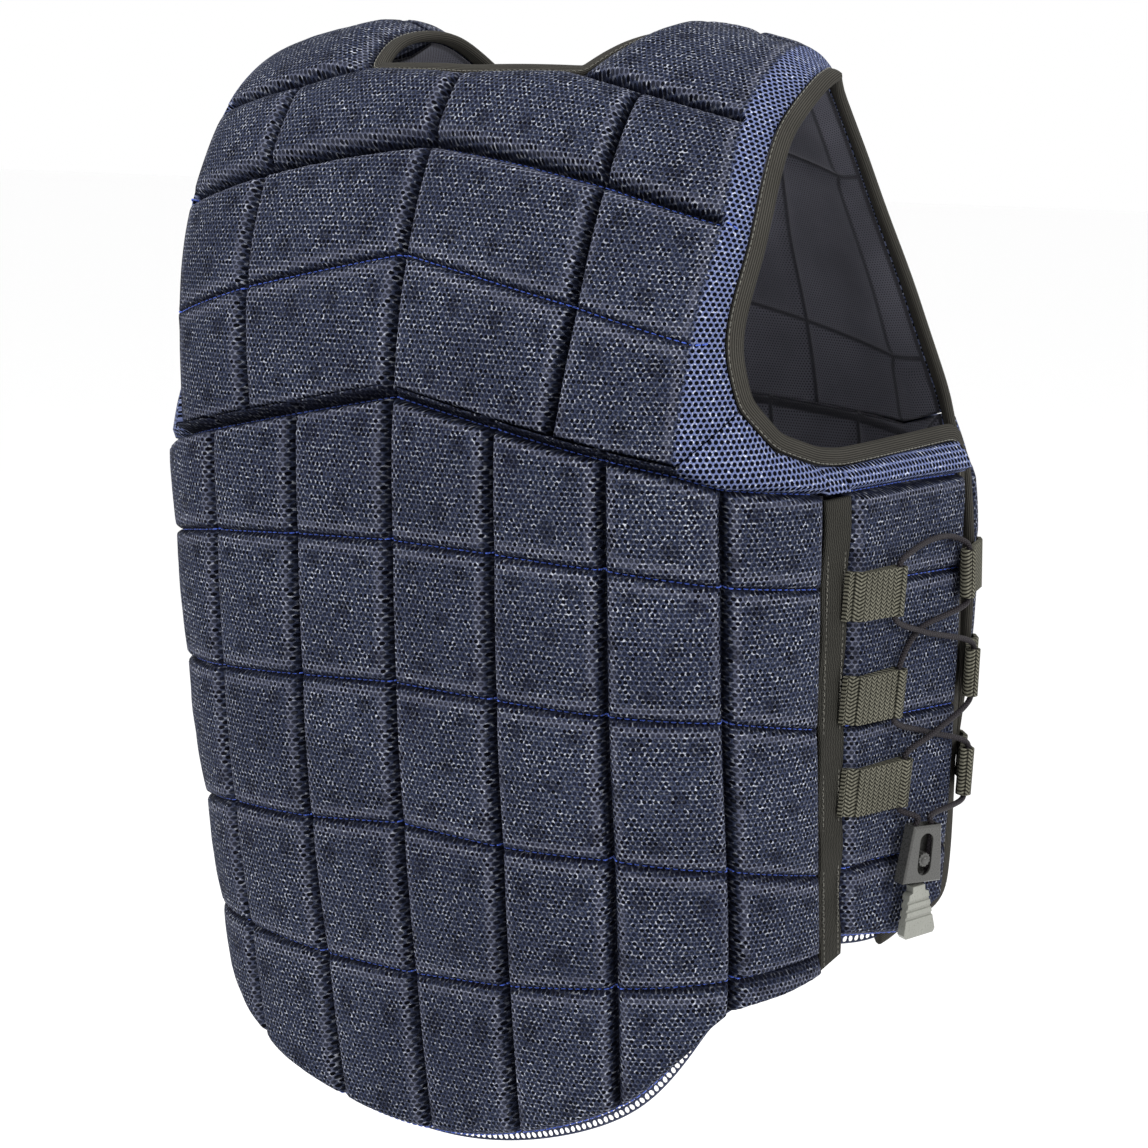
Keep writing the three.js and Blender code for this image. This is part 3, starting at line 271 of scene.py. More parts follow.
yokeCorners = [
    [[0, 0.127], [0.29, 0.117], [0.51, 0.129], [0.8, 0.146], [0.872, 0.148]],
    [[0, 0.196], [0.255, 0.205], [0.507, 0.217], [0.83, 0.241], [0.895, 0.25]],
    [[0, 0.285], [0.25, 0.3], [0.495, 0.315], [0.8, 0.34], [0.877, 0.337]],
    [[0, 0.381], [0.23, 0.395], [0.455, 0.409], [0.77, 0.428], [0.925, 0.39]],
]
bodyCorners = [
    [[0, 0.386], [0.296, 0.404], [0.592, 0.422], [0.77, 0.433], [0.93, 0.395], [1.18, 0.438]],
    [[0, 0.391], [0.296, 0.409], [0.592, 0.428], [0.77, 0.439], [0.887, 0.449], [1.18, 0.458]],
    [[0, 0.497], [0.296, 0.5], [0.592, 0.506], [0.77, 0.513], [0.887, 0.518], [1.18, 0.526]],
    [[0, 0.604], [0.294, 0.608], [0.59, 0.613], [0.77, 0.616], [0.887, 0.618], [1.18, 0.633]],
    [[0, 0.713], [0.292, 0.72], [0.588, 0.722], [0.765, 0.728], [0.887, 0.732], [1.185, 0.749]],
    [[0, 0.833], [0.28, 0.83], [0.572, 0.822], [0.75, 0.819], [0.875, 0.817], [1.195, 0.812]],
    [[0, 0.968], [0.27, 0.956], [0.55, 0.924], [0.73, 0.882], [0.86, 0.848], [1.2, 0.83]],
]
flapCorners = [
    [[1.18, 0.441], [0.1, 0.439], [0.38, 0.437]],
    [[1.18, 0.459], [0.1, 0.46], [0.39, 0.462]],
    [[1.18, 0.528], [0.1, 0.53], [0.39, 0.532]],
    [[1.18, 0.635], [0.1, 0.637], [0.39, 0.638]],
    [[1.185, 0.75], [0.1, 0.75], [0.39, 0.75]],
    [[1.2, 0.812], [0.2, 0.82], [0.38, 0.795]],
]
shoulderCorners = [
    [[0.385, 0.004], [0.745, 0.004], [0.812, 0.004]],
    [[0.378, 0.06], [0.785, 0.075], [0.862, 0.075]],
    [[0.33, 0.116], [0.8, 0.144], [0.872, 0.146]],
]
frontYokeCorners = [
    [[0.385, -0.004], [0.59, -0.004], [0.745, -0.004], [0.812, -0.004]],
    [[0.375, -0.09], [0.575, -0.095], [0.76, -0.1], [0.84, -0.1]],
    [[0.3, -0.18], [0.53, -0.19], [0.75, -0.207], [0.832, -0.212]],
    [[0.17, -0.232], [0.49, -0.26], [0.75, -0.29], [0.835, -0.295]],
    [[0.036, -0.25], [0.46, -0.33], [0.755, -0.37], [0.847, -0.378]],
    [[0.036, -0.39], [0.455, -0.425], [0.765, -0.455], [0.88, -0.457]],
    [[0.036, -0.512], [0.455, -0.525], [0.77, -0.535], [0.945, -0.52]],
]
frontBodyCorners = [
    [[0.036, -0.517], [0.3, -0.525], [0.592, -0.535], [0.77, -0.541], [0.95, -0.526], [0.525, -0.57]],
    [[0.036, -0.524], [0.3, -0.532], [0.592, -0.542], [0.77, -0.553], [0.88, -0.566], [0.55, -0.6]],
    [[0.036, -0.655], [0.3, -0.657], [0.592, -0.66], [0.75, -0.664], [0.85, -0.667], [0.575, -0.672]],
    [[0.036, -0.785], [0.3, -0.786], [0.59, -0.787], [0.74, -0.789], [0.84, -0.79], [0.585, -0.795]],
    [[0.036, -0.905], [0.3, -0.905], [0.585, -0.905], [0.74, -0.904], [0.84, -0.903], [0.575, -0.9]],
    [[0.036, -0.99], [0.3, -0.99], [0.58, -0.985], [0.73, -0.98], [0.83, -0.975], [0.53, -0.955]],
]
# One more column rounds the armhole's lower back corner.
for row in bodyCorners:
    row.insert(5, [(row[4][k] + row[5][k]) / 2 for k in range(2)])
bodyCorners[0][5] = [1.035, 0.4235]
jointClose = 0.002  # the yokes and the panels below them nearly touch
for upper, lower, sign in (
    (yokeCorners[-1], bodyCorners[0], 1), (frontYokeCorners[-1], frontBodyCorners[0], -1),
):
    for corner in upper:
        corner[1] += sign * jointClose
    for corner in lower[:5]:
        corner[1] -= sign * jointClose
ridgeClose = 0.0035  # so do the front and the back at the shoulders' ridge
for backCorner in shoulderCorners[0]:
    backCorner[1] -= ridgeClose
for upperCorner in shoulderCorners[-1]:
    upperCorner[1] += jointClose
for frontCorner in frontYokeCorners[0]:
    frontCorner[1] += ridgeClose
tape = {"width": 18.4, "thickness": 2.4, "sink": 4.2, "margin": 0.3}


def scaled(corner):
    return [corner[0] * form["halfWidth"], corner[1]]


def atDepth(corner):
    return [acrossAtDepth(corner[0] * form["backDepth"], corner[1]), corner[1]]


def halfNet(rows):
    return np.array([[scaled(corner) for corner in row] for row in rows])


def wholeNet(rows):
    right = halfNet(rows)
    left = right[:, :0:-1] * [-1, 1]
    return np.concatenate([left, right], axis=1)


def bothSides(kinds):
    return kinds[:0:-1] + kinds


flapNet = np.array([
    [[scaled(back)[0] + tape["width"], back[1]], atDepth(middle), atDepth(front)]
    for back, middle, front in flapCorners
])
frontBodyNet = np.array([[scaled(c) for c in row[:5]] + [atDepth(row[5])] for row in frontBodyCorners])

panelPlans = {
    "back_yoke": {
        "net": wholeNet(yokeCorners),
        "rows": ["neck", "step", "sewn", "joint"],
        "columns": bothSides(["deep", "plain", "deep", "bend", "thin"]),
    },
    "back_body": {
        "net": wholeNet(bodyCorners),
        "rows": ["thin", "top", "sewn", "sewn", "sewn", "sewn", "narrow"],
        "columns": bothSides(["deep", "deep", "deep", "plain", "deep", "plain", "tucked"]),
        "roundRows": (6,),
        "centre": 6,
        "bandFrom": 3,
    },
    "side_flap": {
        "net": flapNet,
        "rows": ["thin", "top", "sewn", "sewn", "sewn", "narrow"],
        "columns": ["tucked", "plain", "open"],
    },
    "shoulder": {
        "net": halfNet(shoulderCorners),
        "rows": ["ridgeBack", "plain", "under"],
        "columns": ["neck", "bend", "thin"],
    },
    "front_yoke": {
        "net": halfNet(frontYokeCorners),
        "rows": ["ridgeFront", "plain", "sewn", "plain", "plain", "sewn", "joint"],
        "columns": ["neck", "deep", "bend", "thin"],
    },
    "front_body": {
        "net": frontBodyNet,
        "rows": ["thin", "top", "sewn", "sewn", "sewn", "narrow"],
        "columns": ["narrow", "deep", "deep", "plain", "deep", "frontSide"],
        "centre": 0,
        "bandFrom": 3,
    },
}

quilting = {
    "grooveReach": 1.75,  # a groove's rounding, in insets
    "grooveShape": 2.0,
    "stripHold": 0.85,  # how far the armhole's strips run on over the grooves that meet them
    "crown": 1.7,
    "wrinkle": 0.42,
    "pucker": 0.5,
    "wrinkleSize": 13,
    "puckerLength": 7.0,
    "puckerDrift": 30,
    "puckerReach": 5.0,  # from the seam
    "spacing": 2.9,
    "liningSpacing": 5.0,
    "nearLines": (0.7, 1.4, 2.2, 3.2, 4.6, 6.4),  # extra grid lines beside a groove
    "shortCell": 22,  # takes every other one of them
    "tinyCell": 12,  # takes the first alone
    "innerDent": 2.4,  # the inside is drawn out at the seams
    "dentReach": 9,
    "spotSpacing": 27,
}


def cellLengths(net, alongRows):
    corners = formPoints(net[..., 0], net[..., 1])
    axis = 0 if alongRows else 1
    return np.linalg.norm(np.diff(corners, axis=axis), axis=2).mean(axis=1 - axis)


# Places of the grid lines of one direction, closer together beside the grooves.
def linePlaces(kinds, lengths, spacing):
    near = np.array(quilting["nearLines"])
    places = []
    for i, length in enumerate(lengths):
        starts = near if seamKinds[kinds[i]][0] else near[:0]
        ends = near if seamKinds[kinds[i + 1]][0] else near[:0]
        if length < quilting["shortCell"]:
            starts, ends = starts[::2], ends[::2]
        if length < quilting["tinyCell"]:
            starts, ends = starts[:1], ends[:1]
        first = starts[-1] if len(starts) else 0
        last = length - (ends[-1] if len(ends) else 0)
        count = max(int(round((last - first) / spacing)), 1)
        middle = np.linspace(first, last, count + 1)[1:-1]
        marks = np.concatenate([[0], starts, middle, length - ends[::-1]])
        places.append(i + np.unique(np.round(marks, 4)) / length)
    return np.append(np.concatenate(places), len(lengths))


# The cells' own lengths along each grid line of the other direction.
def localLengths(plan, alongRows, places):
    net = plan["net"]
    corners = np.arange(float(net.shape[0 if alongRows else 1]))
    rowPlaces, columnPlaces = (corners, places) if alongRows else (places, corners)
    grid = netGrid(net, rowPlaces, columnPlaces, plan.get("roundRows", ()))
    points = formPoints(grid[..., 0], grid[..., 1])
    lengths = np.linalg.norm(np.diff(points, axis=0 if alongRows else 1), axis=2)
    return lengths if alongRows else lengths.T


# What the seams of one direction do at each place: depth, rise of the inside, distances and blocks.
def seamProfile(kinds, lengths, places):
    count = len(lengths)
    cell = np.clip(places.astype(int), 0, count - 1)
    t = (places - cell)[:, None]
    length = lengths[cell]
    kindRows = np.array([seamKinds[kind] for kind in kinds], float)
    inset, depth, raised = kindRows.T
    flat = np.where(inset > 0, 0, depth)
    slope = flat[cell, None] + (flat[cell + 1] - flat[cell])[:, None] * t + 0 * length
    groove, dent = np.zeros_like(length), np.zeros_like(length)
    for seam, distance in ((cell, t * length), (cell + 1, (1 - t) * length)):
        reachOf = np.minimum(inset[seam, None] * quilting["grooveReach"], 0.49 * length)
        share = np.where(reachOf > 0, np.clip(1 - distance / np.maximum(reachOf, 0.01), 0, 1), 0)
        groove = np.maximum(groove, depth[seam, None] * share ** quilting["grooveShape"])
        pulledIn = np.clip(1 - distance / quilting["dentReach"], 0, 1) * (inset[seam, None] > 0)
        dent = np.maximum(dent, pulledIn**2)
    fall = np.where(length > 25, 2.0, 1.0)
    before = raised[cell, None] * np.clip(1 - t * fall, 0, 1)
    rise = np.maximum(before, raised[cell + 1, None] * np.clip(1 - (1 - t) * fall, 0, 1))
    run = np.concatenate([np.zeros((1, lengths.shape[1])), np.cumsum(lengths, axis=0)])
    position = run[cell] + t * length
    bounds = np.array([i for i, kind in enumerate(kinds) if kind != "plain"])
    block = np.clip(np.searchsorted(bounds, places, side="right") - 1, 0, len(bounds) - 2)
    start, end = run[bounds[block]], run[bounds[block + 1]]
    u = np.clip((position - start) / (end - start), 0, 1)
    width = (end - start).mean(axis=1, keepdims=True)
    edgeKinds = [(kinds[bounds[k]], kinds[bounds[k + 1]]) for k in range(len(bounds) - 1)]
    strip = np.array([1.0 if "thin" in pair else 0.0 for pair in edgeKinds])[block][:, None] + 0 * length
    nearest = np.minimum(position - start, end - position)
    block = block[:, None] + 0 * length
    return {
        "slope": slope, "groove": groove, "raised": rise, "dent": dent, "u": u, "width": width,
        "block": block, "strip": strip, "near": nearest, "run": position,
    }


def pillow(u):
    return 1 - np.abs(2 * u - 1) ** 3


def noiseField(points, size, seed):
    offset = Vector((seed * 7.3, seed * 3.1, seed * 5.7))
    flat = points.reshape(-1, 3)
    values = [noise.noise(Vector(p) / size + offset) for p in flat]
    return np.array(values).reshape(points.shape[:-1])


# All that is known about a panel at the crossings of some row and column places.
def panelSurface(plan, rowPlaces, columnPlaces, wrinkled=True, seed=1):
    net = plan["net"]
    across, along = np.moveaxis(netGrid(net, rowPlaces, columnPlaces, plan.get("roundRows", ())), 2, 0)
    r = seamProfile(plan["rows"], localLengths(plan, True, columnPlaces), rowPlaces)
    c = seamProfile(plan["columns"], localLengths(plan, False, rowPlaces), columnPlaces)
    c = {key: value.T for key, value in c.items()}
    # The band along the armhole starts beside the yoke and takes up the slope of the yoke's own band.
    beside = np.ones_like(columnPlaces)[None, :]
    if "bandFrom" in plan:
        beside = np.clip(np.abs(columnPlaces - plan["centre"]) - plan["bandFrom"], 0, 1)[None, :]
    inBand = r["strip"] > 0
    r["strip"] = r["strip"] * (beside > 0)
    r["raised"] = np.where(inBand, r["raised"] * beside, r["raised"])
    r["slope"] = np.where(inBand, r["slope"] * beside, r["slope"])
    points, normals = formPoints(across, along), formNormals(across, along)
    raised = np.maximum(r["raised"], c["raised"])
    deepest = form["foam"] - form["edge"] - raised
    hold = quilting["stripHold"]
    rowSunk = np.maximum(r["slope"], r["groove"] * (1 - hold * c["strip"]))
    columnSunk = np.maximum(c["slope"], c["groove"] * (1 - hold * r["strip"]))
    sunk = (rowSunk ** 4 + columnSunk ** 4) ** 0.25
    sunk = np.minimum(sunk, deepest)
    tops = pillow(r["u"]) * pillow(c["u"])
    strip = np.maximum(r["strip"], c["strip"]) + 0 * tops
    lift = -sunk + quilting["crown"] * tops * (1 - strip)
    if wrinkled:
        freedom = np.clip(tops * 1.4, 0.15, 1) * (1 - 0.6 * strip)
        lift = lift + quilting["wrinkle"] * noiseField(points, quilting["wrinkleSize"], seed) * freedom
        phase = c["run"] * 2 * math.pi / quilting["puckerLength"]
        pull = np.sin(phase + 2 * noiseField(points, quilting["puckerDrift"], seed + 1))
        closeness = np.exp(-r["near"] / quilting["puckerReach"]) * (r["near"] > 0.4)
        lift = lift + quilting["pucker"] * pull * closeness * (1 - strip)
    run = np.where(along > 0, backRun, frontRun)
    dent = np.maximum(r["dent"], c["dent"]) * quilting["innerDent"] * np.clip(1 - raised / 3, 0, 1)
    return {
        "points": points, "normals": normals, "lift": lift, "raised": raised, "strip": strip,
        "dent": dent, "rows": r, "columns": c,
        "outer": points + normals * lift[..., None],
        "cloth": np.stack([across, along * run], axis=2),
    }


def linkedObject(name, data):
    obj = bpy.data.objects.new(name, data)
    bpy.context.scene.collection.objects.link(obj)
    return obj


# A grid of points made a mesh; a second layer closes it into a shell, wrap joins its two long sides.
def gridObject(name, layers, uv, attributes=None, wrap=False):
    rowCount, columnCount = layers[0].shape[:2]
    bm = bmesh.new()
    bmesh.ops.create_grid(bm, x_segments=columnCount - 1, y_segments=rowCount - 1, size=1)
    if len(layers) > 1:
        made = bmesh.ops.extrude_face_region(bm, geom=bm.faces[:], use_keep_orig=True)
        moved = [v for v in made["geom"] if isinstance(v, bmesh.types.BMVert)]
        bmesh.ops.translate(bm, verts=moved, vec=(0, 0, 1))
    mesh = bpy.data.meshes.new(name)
    bm.to_mesh(mesh)
    bm.free()
    count = len(mesh.vertices)
    flat = np.zeros(count * 3)
    mesh.vertices.foreach_get("co", flat)
    flat = flat.reshape(-1, 3)
    j = np.rint((flat[:, 0] + 1) / 2 * (columnCount - 1)).astype(int)
    i = np.rint((flat[:, 1] + 1) / 2 * (rowCount - 1)).astype(int)
    k = np.rint(flat[:, 2]).astype(int)
    places = np.stack(layers)[k, i, j] * mm
    mesh.vertices.foreach_set("co", places.ravel())
    corners = np.zeros(len(mesh.loops), int)
    mesh.loops.foreach_get("vertex_index", corners)
    layer = mesh.uv_layers.new(name="cloth")
    layer.data.foreach_set("uv", (uv[i, j] * mm)[corners].ravel())
    for key, values in (attributes or {}).items():
        stored = mesh.attributes.new(key, "FLOAT_VECTOR", "POINT")
        stored.data.foreach_set("vector", values[i, j].astype(np.float32).ravel())
    bm = bmesh.new()
    bm.from_mesh(mesh)
    if wrap:
        bmesh.ops.remove_doubles(bm, verts=bm.verts[:], dist=2e-6)
        bmesh.ops.holes_fill(bm, edges=[e for e in bm.edges if e.is_boundary], sides=0)
    bmesh.ops.recalc_face_normals(bm, faces=bm.faces[:])
    for face in bm.faces:
        face.smooth = len(face.verts) < 5
    bm.to_mesh(mesh)
    bm.free()
    mesh.update()
    return linkedObject(name, mesh)


def mirrorCopy(obj, name):
    mesh = obj.data.copy()
    bm = bmesh.new()
    bm.from_mesh(mesh)
    bmesh.ops.scale(bm, verts=bm.verts[:], vec=(-1, 1, 1))
    bmesh.ops.reverse_faces(bm, faces=bm.faces[:])
    bm.to_mesh(mesh)
    bm.free()
    return linkedObject(name, mesh)


# A piece named for the right side gets its twin on the left.
def keepPiece(obj):
    pieces[obj.name] = obj
    if obj.name.endswith("_right"):
        twin = obj.name.replace("_right", "_left")
        pieces[twin] = mirrorCopy(obj, twin)


def gridPlaces(plan, spacing):
    rowPlaces = linePlaces(plan["rows"], cellLengths(plan["net"], True), spacing)
    return rowPlaces, linePlaces(plan["columns"], cellLengths(plan["net"], False), spacing)


def quiltedPanel(name, plan, seed):
    s = panelSurface(plan, *gridPlaces(plan, quilting["spacing"]), True, seed)
    inner = s["points"] + s["normals"] * (s["raised"] - form["foam"] + s["dent"])[..., None]
    rows, columns = s["rows"], s["columns"]
    spotsAcross = np.maximum(np.rint(columns["width"] / quilting["spotSpacing"]), 1)
    spotsDown = np.maximum(np.rint(rows["width"] / quilting["spotSpacing"]), 1)
    blank = np.zeros_like(s["lift"])
    spot = np.stack([
        columns["u"] * spotsAcross + blank, rows["u"] * spotsDown + blank,
        np.sin(columns["block"] * 12.9 + rows["block"] * 78.2 + seed) * 0.5 + 0.5 + blank,
    ], axis=2)
    quilt = np.stack([columns["near"] + blank, rows["near"] + blank, s["strip"]], axis=2)
    return gridObject(name, [s["outer"], inner], s["cloth"], {"spot": spot, "quilt": quilt})


def liningPanel(name, plan):
    s = panelSurface(plan, *gridPlaces(plan, quilting["liningSpacing"]), False)
    top = s["raised"] - form["foam"] - form["gap"] + s["dent"]
    outer = s["points"] + s["normals"] * top[..., None]
    inner = s["points"] + s["normals"] * (top - form["lining"])[..., None]
    blank = np.zeros_like(top)
    quilt = np.stack([s["columns"]["near"] + blank, s["rows"]["near"] + blank, s["strip"]], axis=2)
    return gridObject(name, [outer, inner], s["cloth"], {"quilt": quilt})


bridgeNet = [[[1.18, 0.4385], [1.18, 0.4405]], [[1.18, 0.459], [1.18, 0.459]]]
bridgePlan = {
    "net": halfNet(bridgeNet) + np.array([[[0.3, 0], [tape["width"] - 0.3, 0]]]),
    "rows": ["thin", "top"],
    "columns": ["bridge", "bridge"],
}
pieces = {}
linedPanels = ["back_yoke", "back_body", "front_yoke", "front_body"]
wholePanels = ["back_yoke", "back_body"]
for k, (name, plan) in enumerate(panelPlans.items()):
    ending = "" if name in wholePanels else "_right"
    keepPiece(quiltedPanel(f"{name}_quilt{ending}", plan, 1 + 3 * k))
    if name in linedPanels:
        keepPiece(liningPanel(f"{name}_liner{ending}", plan))
keepPiece(quiltedPanel("tape_top_mesh_right", bridgePlan, 19))
print("panels made")


# Swept trims: a section of [aside, lift] corners carried along a border of [across, along, raised] places.
def borderPlaces(plan, side, spacing=2.5):
    net = plan["net"]
    alongRows = side in ("left", "right")
    kinds = plan["rows"] if alongRows else plan["columns"]
    lengths = cellLengths(net, alongRows)
    count = max(int(lengths.sum() / spacing), 8)
    run = runOver(lengths)
    places = np.interp(np.linspace(0, run[-1], count), run, np.arange(len(run)))
    profile = seamProfile(kinds, lengths[:, None], places)
    fixedIndex = {"left": 0, "right": net.shape[1] - 1, "top": 0, "bottom": net.shape[0] - 1}[side]
    otherKinds = plan["columns"] if alongRows else plan["rows"]
    fixed = np.array([float(fixedIndex)])
    edgeRaise = seamKinds[otherKinds[fixedIndex]][2]
    rowPlaces, columnPlaces = (places, fixed) if alongRows else (fixed, places)
    grid = netGrid(net, rowPlaces, columnPlaces, plan.get("roundRows", ()))
    line = grid[:, 0] if alongRows else grid[0]
    return np.column_stack([line, np.maximum(profile["raised"][:, 0], edgeRaise)])


def joinBorders(*borders, least=2.2):
    kept = []
    for place in np.concatenate([np.atleast_2d(border) for border in borders]):
        point = formPoints(place[0], place[1])
        if kept and np.linalg.norm(point - kept[-1][1]) <= least:
            continue
        kept.append((place, point))
    return np.array([place for place, _ in kept])


# Even steps along a border, with its turns and its changes of height eased.
def evenBorder(border, spacing=1.6, rounds=20):
    points = formPoints(border[:, 0], border[:, 1])
    run = runAlong(points)
    marks = np.linspace(0, run[-1], max(int(run[-1] / spacing), 4))
    places = np.column_stack([np.interp(marks, run, border[:, k]) for k in range(3)])
    for _ in range(rounds):
        places[1:-1] = (places[:-2] + 2 * places[1:-1] + places[2:]) / 4
    return places, marks


def bandFrame(places, turn):
    points, normals = formPoints(places[:, 0], places[:, 1]), formNormals(places[:, 0], places[:, 1])
    along = np.gradient(points, axis=0)
    asides = unit(np.cross(along, normals)) * turn
    for _ in range(8):
        normals[1:-1] = unit(normals[:-2] + 2 * normals[1:-1] + normals[2:])
        asides[1:-1] = unit(asides[:-2] + 2 * asides[1:-1] + asides[2:])
    return points, normals, asides


def bandObject(name, border, section, turn, wave=0.0, rounds=20):
    places, marks = evenBorder(border, rounds=rounds)
    points, normals, asides = bandFrame(places, turn)
    closed = np.array(section + section[:1], float)
    around = runAlong(closed)
    lift = closed[None, :, 1] + places[:, 2, None] - form["foam"]
    ripple = np.sin(marks / 9.0) + 0.6 * np.sin(marks / 23.0 + 1)
    lift = lift + wave * ripple[:, None] * (closed[None, :, 1] > 0)
    rings = points[:, None] + asides[:, None] * closed[None, :, :1] + normals[:, None] * lift[..., None]
    uv = np.stack(np.broadcast_arrays(marks[:, None], around[None, :]), axis=2)
    obj = gridObject(name, [rings], uv, wrap=True)
    return obj, (points, normals, asides, marks, places[:, 2])


def roundedSection(first, last, height, bulge=0.5, count=5):
    half, middle = height / 2, (first + last) / 2
    nose = [[last + half * math.sin(a), half - half * math.cos(a)] for a in np.linspace(0, math.pi, count)]
    top = [
        [last + (first - last) * t, height + bulge * math.sin(math.pi * t)] for t in np.linspace(0.25, 1, 4)
    ]
    low = [[first + (middle - first) * t, 0] for t in (0, 0.5, 1)]
    return low + nose + top


# Sewing threads: short arcs of thread that dip into the cloth at both ends.
threadSizes = {"stitch": 2.6, "gap": 1.1, "radius": 0.42, "rise": 0.45, "sink": 0.5}


def stitchRun(curve, points, normals, sizes=threadSizes):
    run = runAlong(points)
    period = sizes["stitch"] + sizes["gap"]
    high, low = sizes["rise"], -sizes["sink"]
    lifts = np.array([low, high * 0.75, high, high * 0.75, low])
    for k in range(int(run[-1] / period)):
        marks = (k + 0.1) * period + sizes["stitch"] * np.array([0, 0.18, 0.5, 0.82, 1])
        places = np.column_stack([np.interp(marks, run, points[:, axis]) for axis in range(3)])
        out = np.column_stack([np.interp(marks, run, normals[:, axis]) for axis in range(3)])
        places = (places + out * lifts[:, None]) * mm
        spline = curve.splines.new("POLY")
        spline.points.add(len(places) - 1)
        spline.points.foreach_set("co", np.column_stack([places, np.ones(len(places))]).ravel())


def threadCurve(name, sizes=threadSizes):
    curve = bpy.data.curves.new(name, "CURVE")
    curve.dimensions = "3D"
    curve.bevel_depth = sizes["radius"] * mm
    curve.bevel_resolution = 1
    curve.use_fill_caps = True
    return curve


def threadObject(curve):
    carrier = linkedObject(curve.name, curve)
    bpy.context.view_layer.update()
    graph = bpy.context.evaluated_depsgraph_get()
    mesh = bpy.data.meshes.new_from_object(carrier.evaluated_get(graph))
    name = curve.name
    bpy.data.objects.remove(carrier)
    mesh.name = name
    for polygon in mesh.polygons:
        polygon.use_smooth = True
    return linkedObject(name, mesh)


binding = {"neckWidth": 7, "edgeWidth": 8, "fold": 0.8, "lip": 1.2, "seam": 0.25}
zipEdge = 0.036 * form["halfWidth"]
frontNeck = borderPlaces(panelPlans["front_yoke"], "left")
frontNeck = frontNeck[frontNeck[:, 0] > zipEdge + 0.5]
backNeck = borderPlaces(panelPlans["back_yoke"], "top")
backNeck = backNeck[(backNeck[:, 0] >= 0) & (backNeck[:, 0] <= yokeCorners[0][1][0] * form["halfWidth"])]
shoulderLeft = borderPlaces(panelPlans["shoulder"], "left")
zipTop = np.array([[zipEdge, frontYokeCorners[4][0][1], seamKinds["neck"][2]]])
rightNeck = joinBorders(zipTop, frontNeck[::-1], shoulderLeft, backNeck[::-1])
leftNeck = (rightNeck * [-1, 1, 1])[::-1]
neckBorder = joinBorders(rightNeck, leftNeck)


def fromColumn(border, start):
    return border[np.argmax(border[:, 0] >= start * form["halfWidth"]):]


frontEdge = joinBorders(
    borderPlaces(panelPlans["front_yoke"], "right"),
    fromColumn(borderPlaces(panelPlans["front_body"], "top"), frontBodyCorners[0][4][0]),
    borderPlaces(panelPlans["front_body"], "right"),
    borderPlaces(panelPlans["front_body"], "bottom")[::-1],
)
flapBottom = borderPlaces(panelPlans["side_flap"], "bottom")
sideEdge = joinBorders(
    frontEdge[::-1],
    borderPlaces(panelPlans["shoulder"], "right"),
    borderPlaces(panelPlans["back_yoke"], "right"),
    fromColumn(borderPlaces(panelPlans["back_body"], "top"), bodyCorners[0][4][0]),
    borderPlaces(panelPlans["side_flap"], "top"),
    borderPlaces(panelPlans["side_flap"], "right"),
    flapBottom[::-1][: len(flapBottom) // 2],
)


def bindingSection(width):
    return roundedSection(binding["fold"], width - binding["lip"], form["edge"])


neckBinding, neckLine = bandObject(
    "neck_binding_cloth", neckBorder, bindingSection(binding["neckWidth"]), 1)
edgeBinding, edgeLine = bandObject(
    "edge_binding_cloth_right", sideEdge, bindingSection(binding["edgeWidth"]), -1)
keepPiece(neckBinding)

bodyRight = borderPlaces(panelPlans["back_body"], "right")
bodyRight = bodyRight[bodyRight[:, 1] > bodyCorners[1][-1][1] + 0.002]
tapeTop = form["foam"] - tape["sink"]
tapeFirst, tapeLast = tape["margin"], tape["width"] - tape["margin"]
tapeSection = [[tapeFirst, tapeTop - tape["thickness"]], [tapeLast, tapeTop - tape["thickness"]],
               [tapeLast + 0.3, tapeTop - 1], [tapeLast, tapeTop]]
tapeSection += [[tapeLast + (tapeFirst - tapeLast) * t, tapeTop] for t in (0.12, 0.3, 0.5, 0.7, 0.88)]
tapeSection += [[tapeFirst, tapeTop], [tapeFirst - 0.3, tapeTop - 1]]
sideTape, tapeLine = bandObject("side_tape_cloth_right", bodyRight, tapeSection, -1, wave=0.8, rounds=6)


# Open net under the hems: two rows of meshes cut through a strip.
netSizes = {"lift": 1.6, "pitch": 3.6, "yarn": 1.35, "columns": (-1.2, 2.9, 6.9), "zigzag": 0.55}


def netStrip(name, border, turn):
    places, marks = evenBorder(border, netSizes["pitch"])
    points, normals, asides = bandFrame(places, turn)
    columns = np.array(netSizes["columns"])
    swing = np.where(np.arange(len(marks)) % 2, netSizes["zigzag"], -netSizes["zigzag"])
    zigzag = swing[:, None] * np.array([0, 1, 0])
    lift = places[:, 2, None] - form["foam"] + netSizes["lift"] + 0 * zigzag
    rings = points[:, None] + normals[:, None] * lift[..., None]
    rings = rings + asides[:, None] * (columns + zigzag)[..., None]
    uv = np.stack(np.broadcast_arrays(marks[:, None], columns[None, :]), axis=2)
    obj = gridObject(name, [rings], uv)
    addNetYarns(obj)
    return obj


def addNetYarns(obj):
    wires = obj.modifiers.new("net", "WIREFRAME")
    wires.thickness = netSizes["yarn"] * mm
    wires.use_boundary = True
    wires.use_even_offset = False
    rounded = obj.modifiers.new("round", "SUBSURF")
    rounded.levels = rounded.render_levels = 1


keepPiece(netStrip("hem_net", borderPlaces(panelPlans["back_body"], "bottom"), 1))
keepPiece(netStrip("flap_hem_net_right", flapBottom[: int(len(flapBottom) * 0.95)], 1))
addNetYarns(pieces["flap_hem_net_left"])
for band in (edgeBinding, sideTape):
    keepPiece(band)
print("bindings, tapes and nets made")


# Laces: the same route as the solid, with a finer braid round it.
laceSizes = {"radius": 1.5, "sides": 12, "step": 0.9}
lock = {
    "y": 0.13, "z": 0.716, "rise": 11.6, "turn": math.radians(20), "height": 30, "clipGap": 1.8,
    "mouth": 3.9, "throat": 4.9, "lane": 5.6, "clipLane": 2.1, "lip": 3.2, "inset": 3,
}
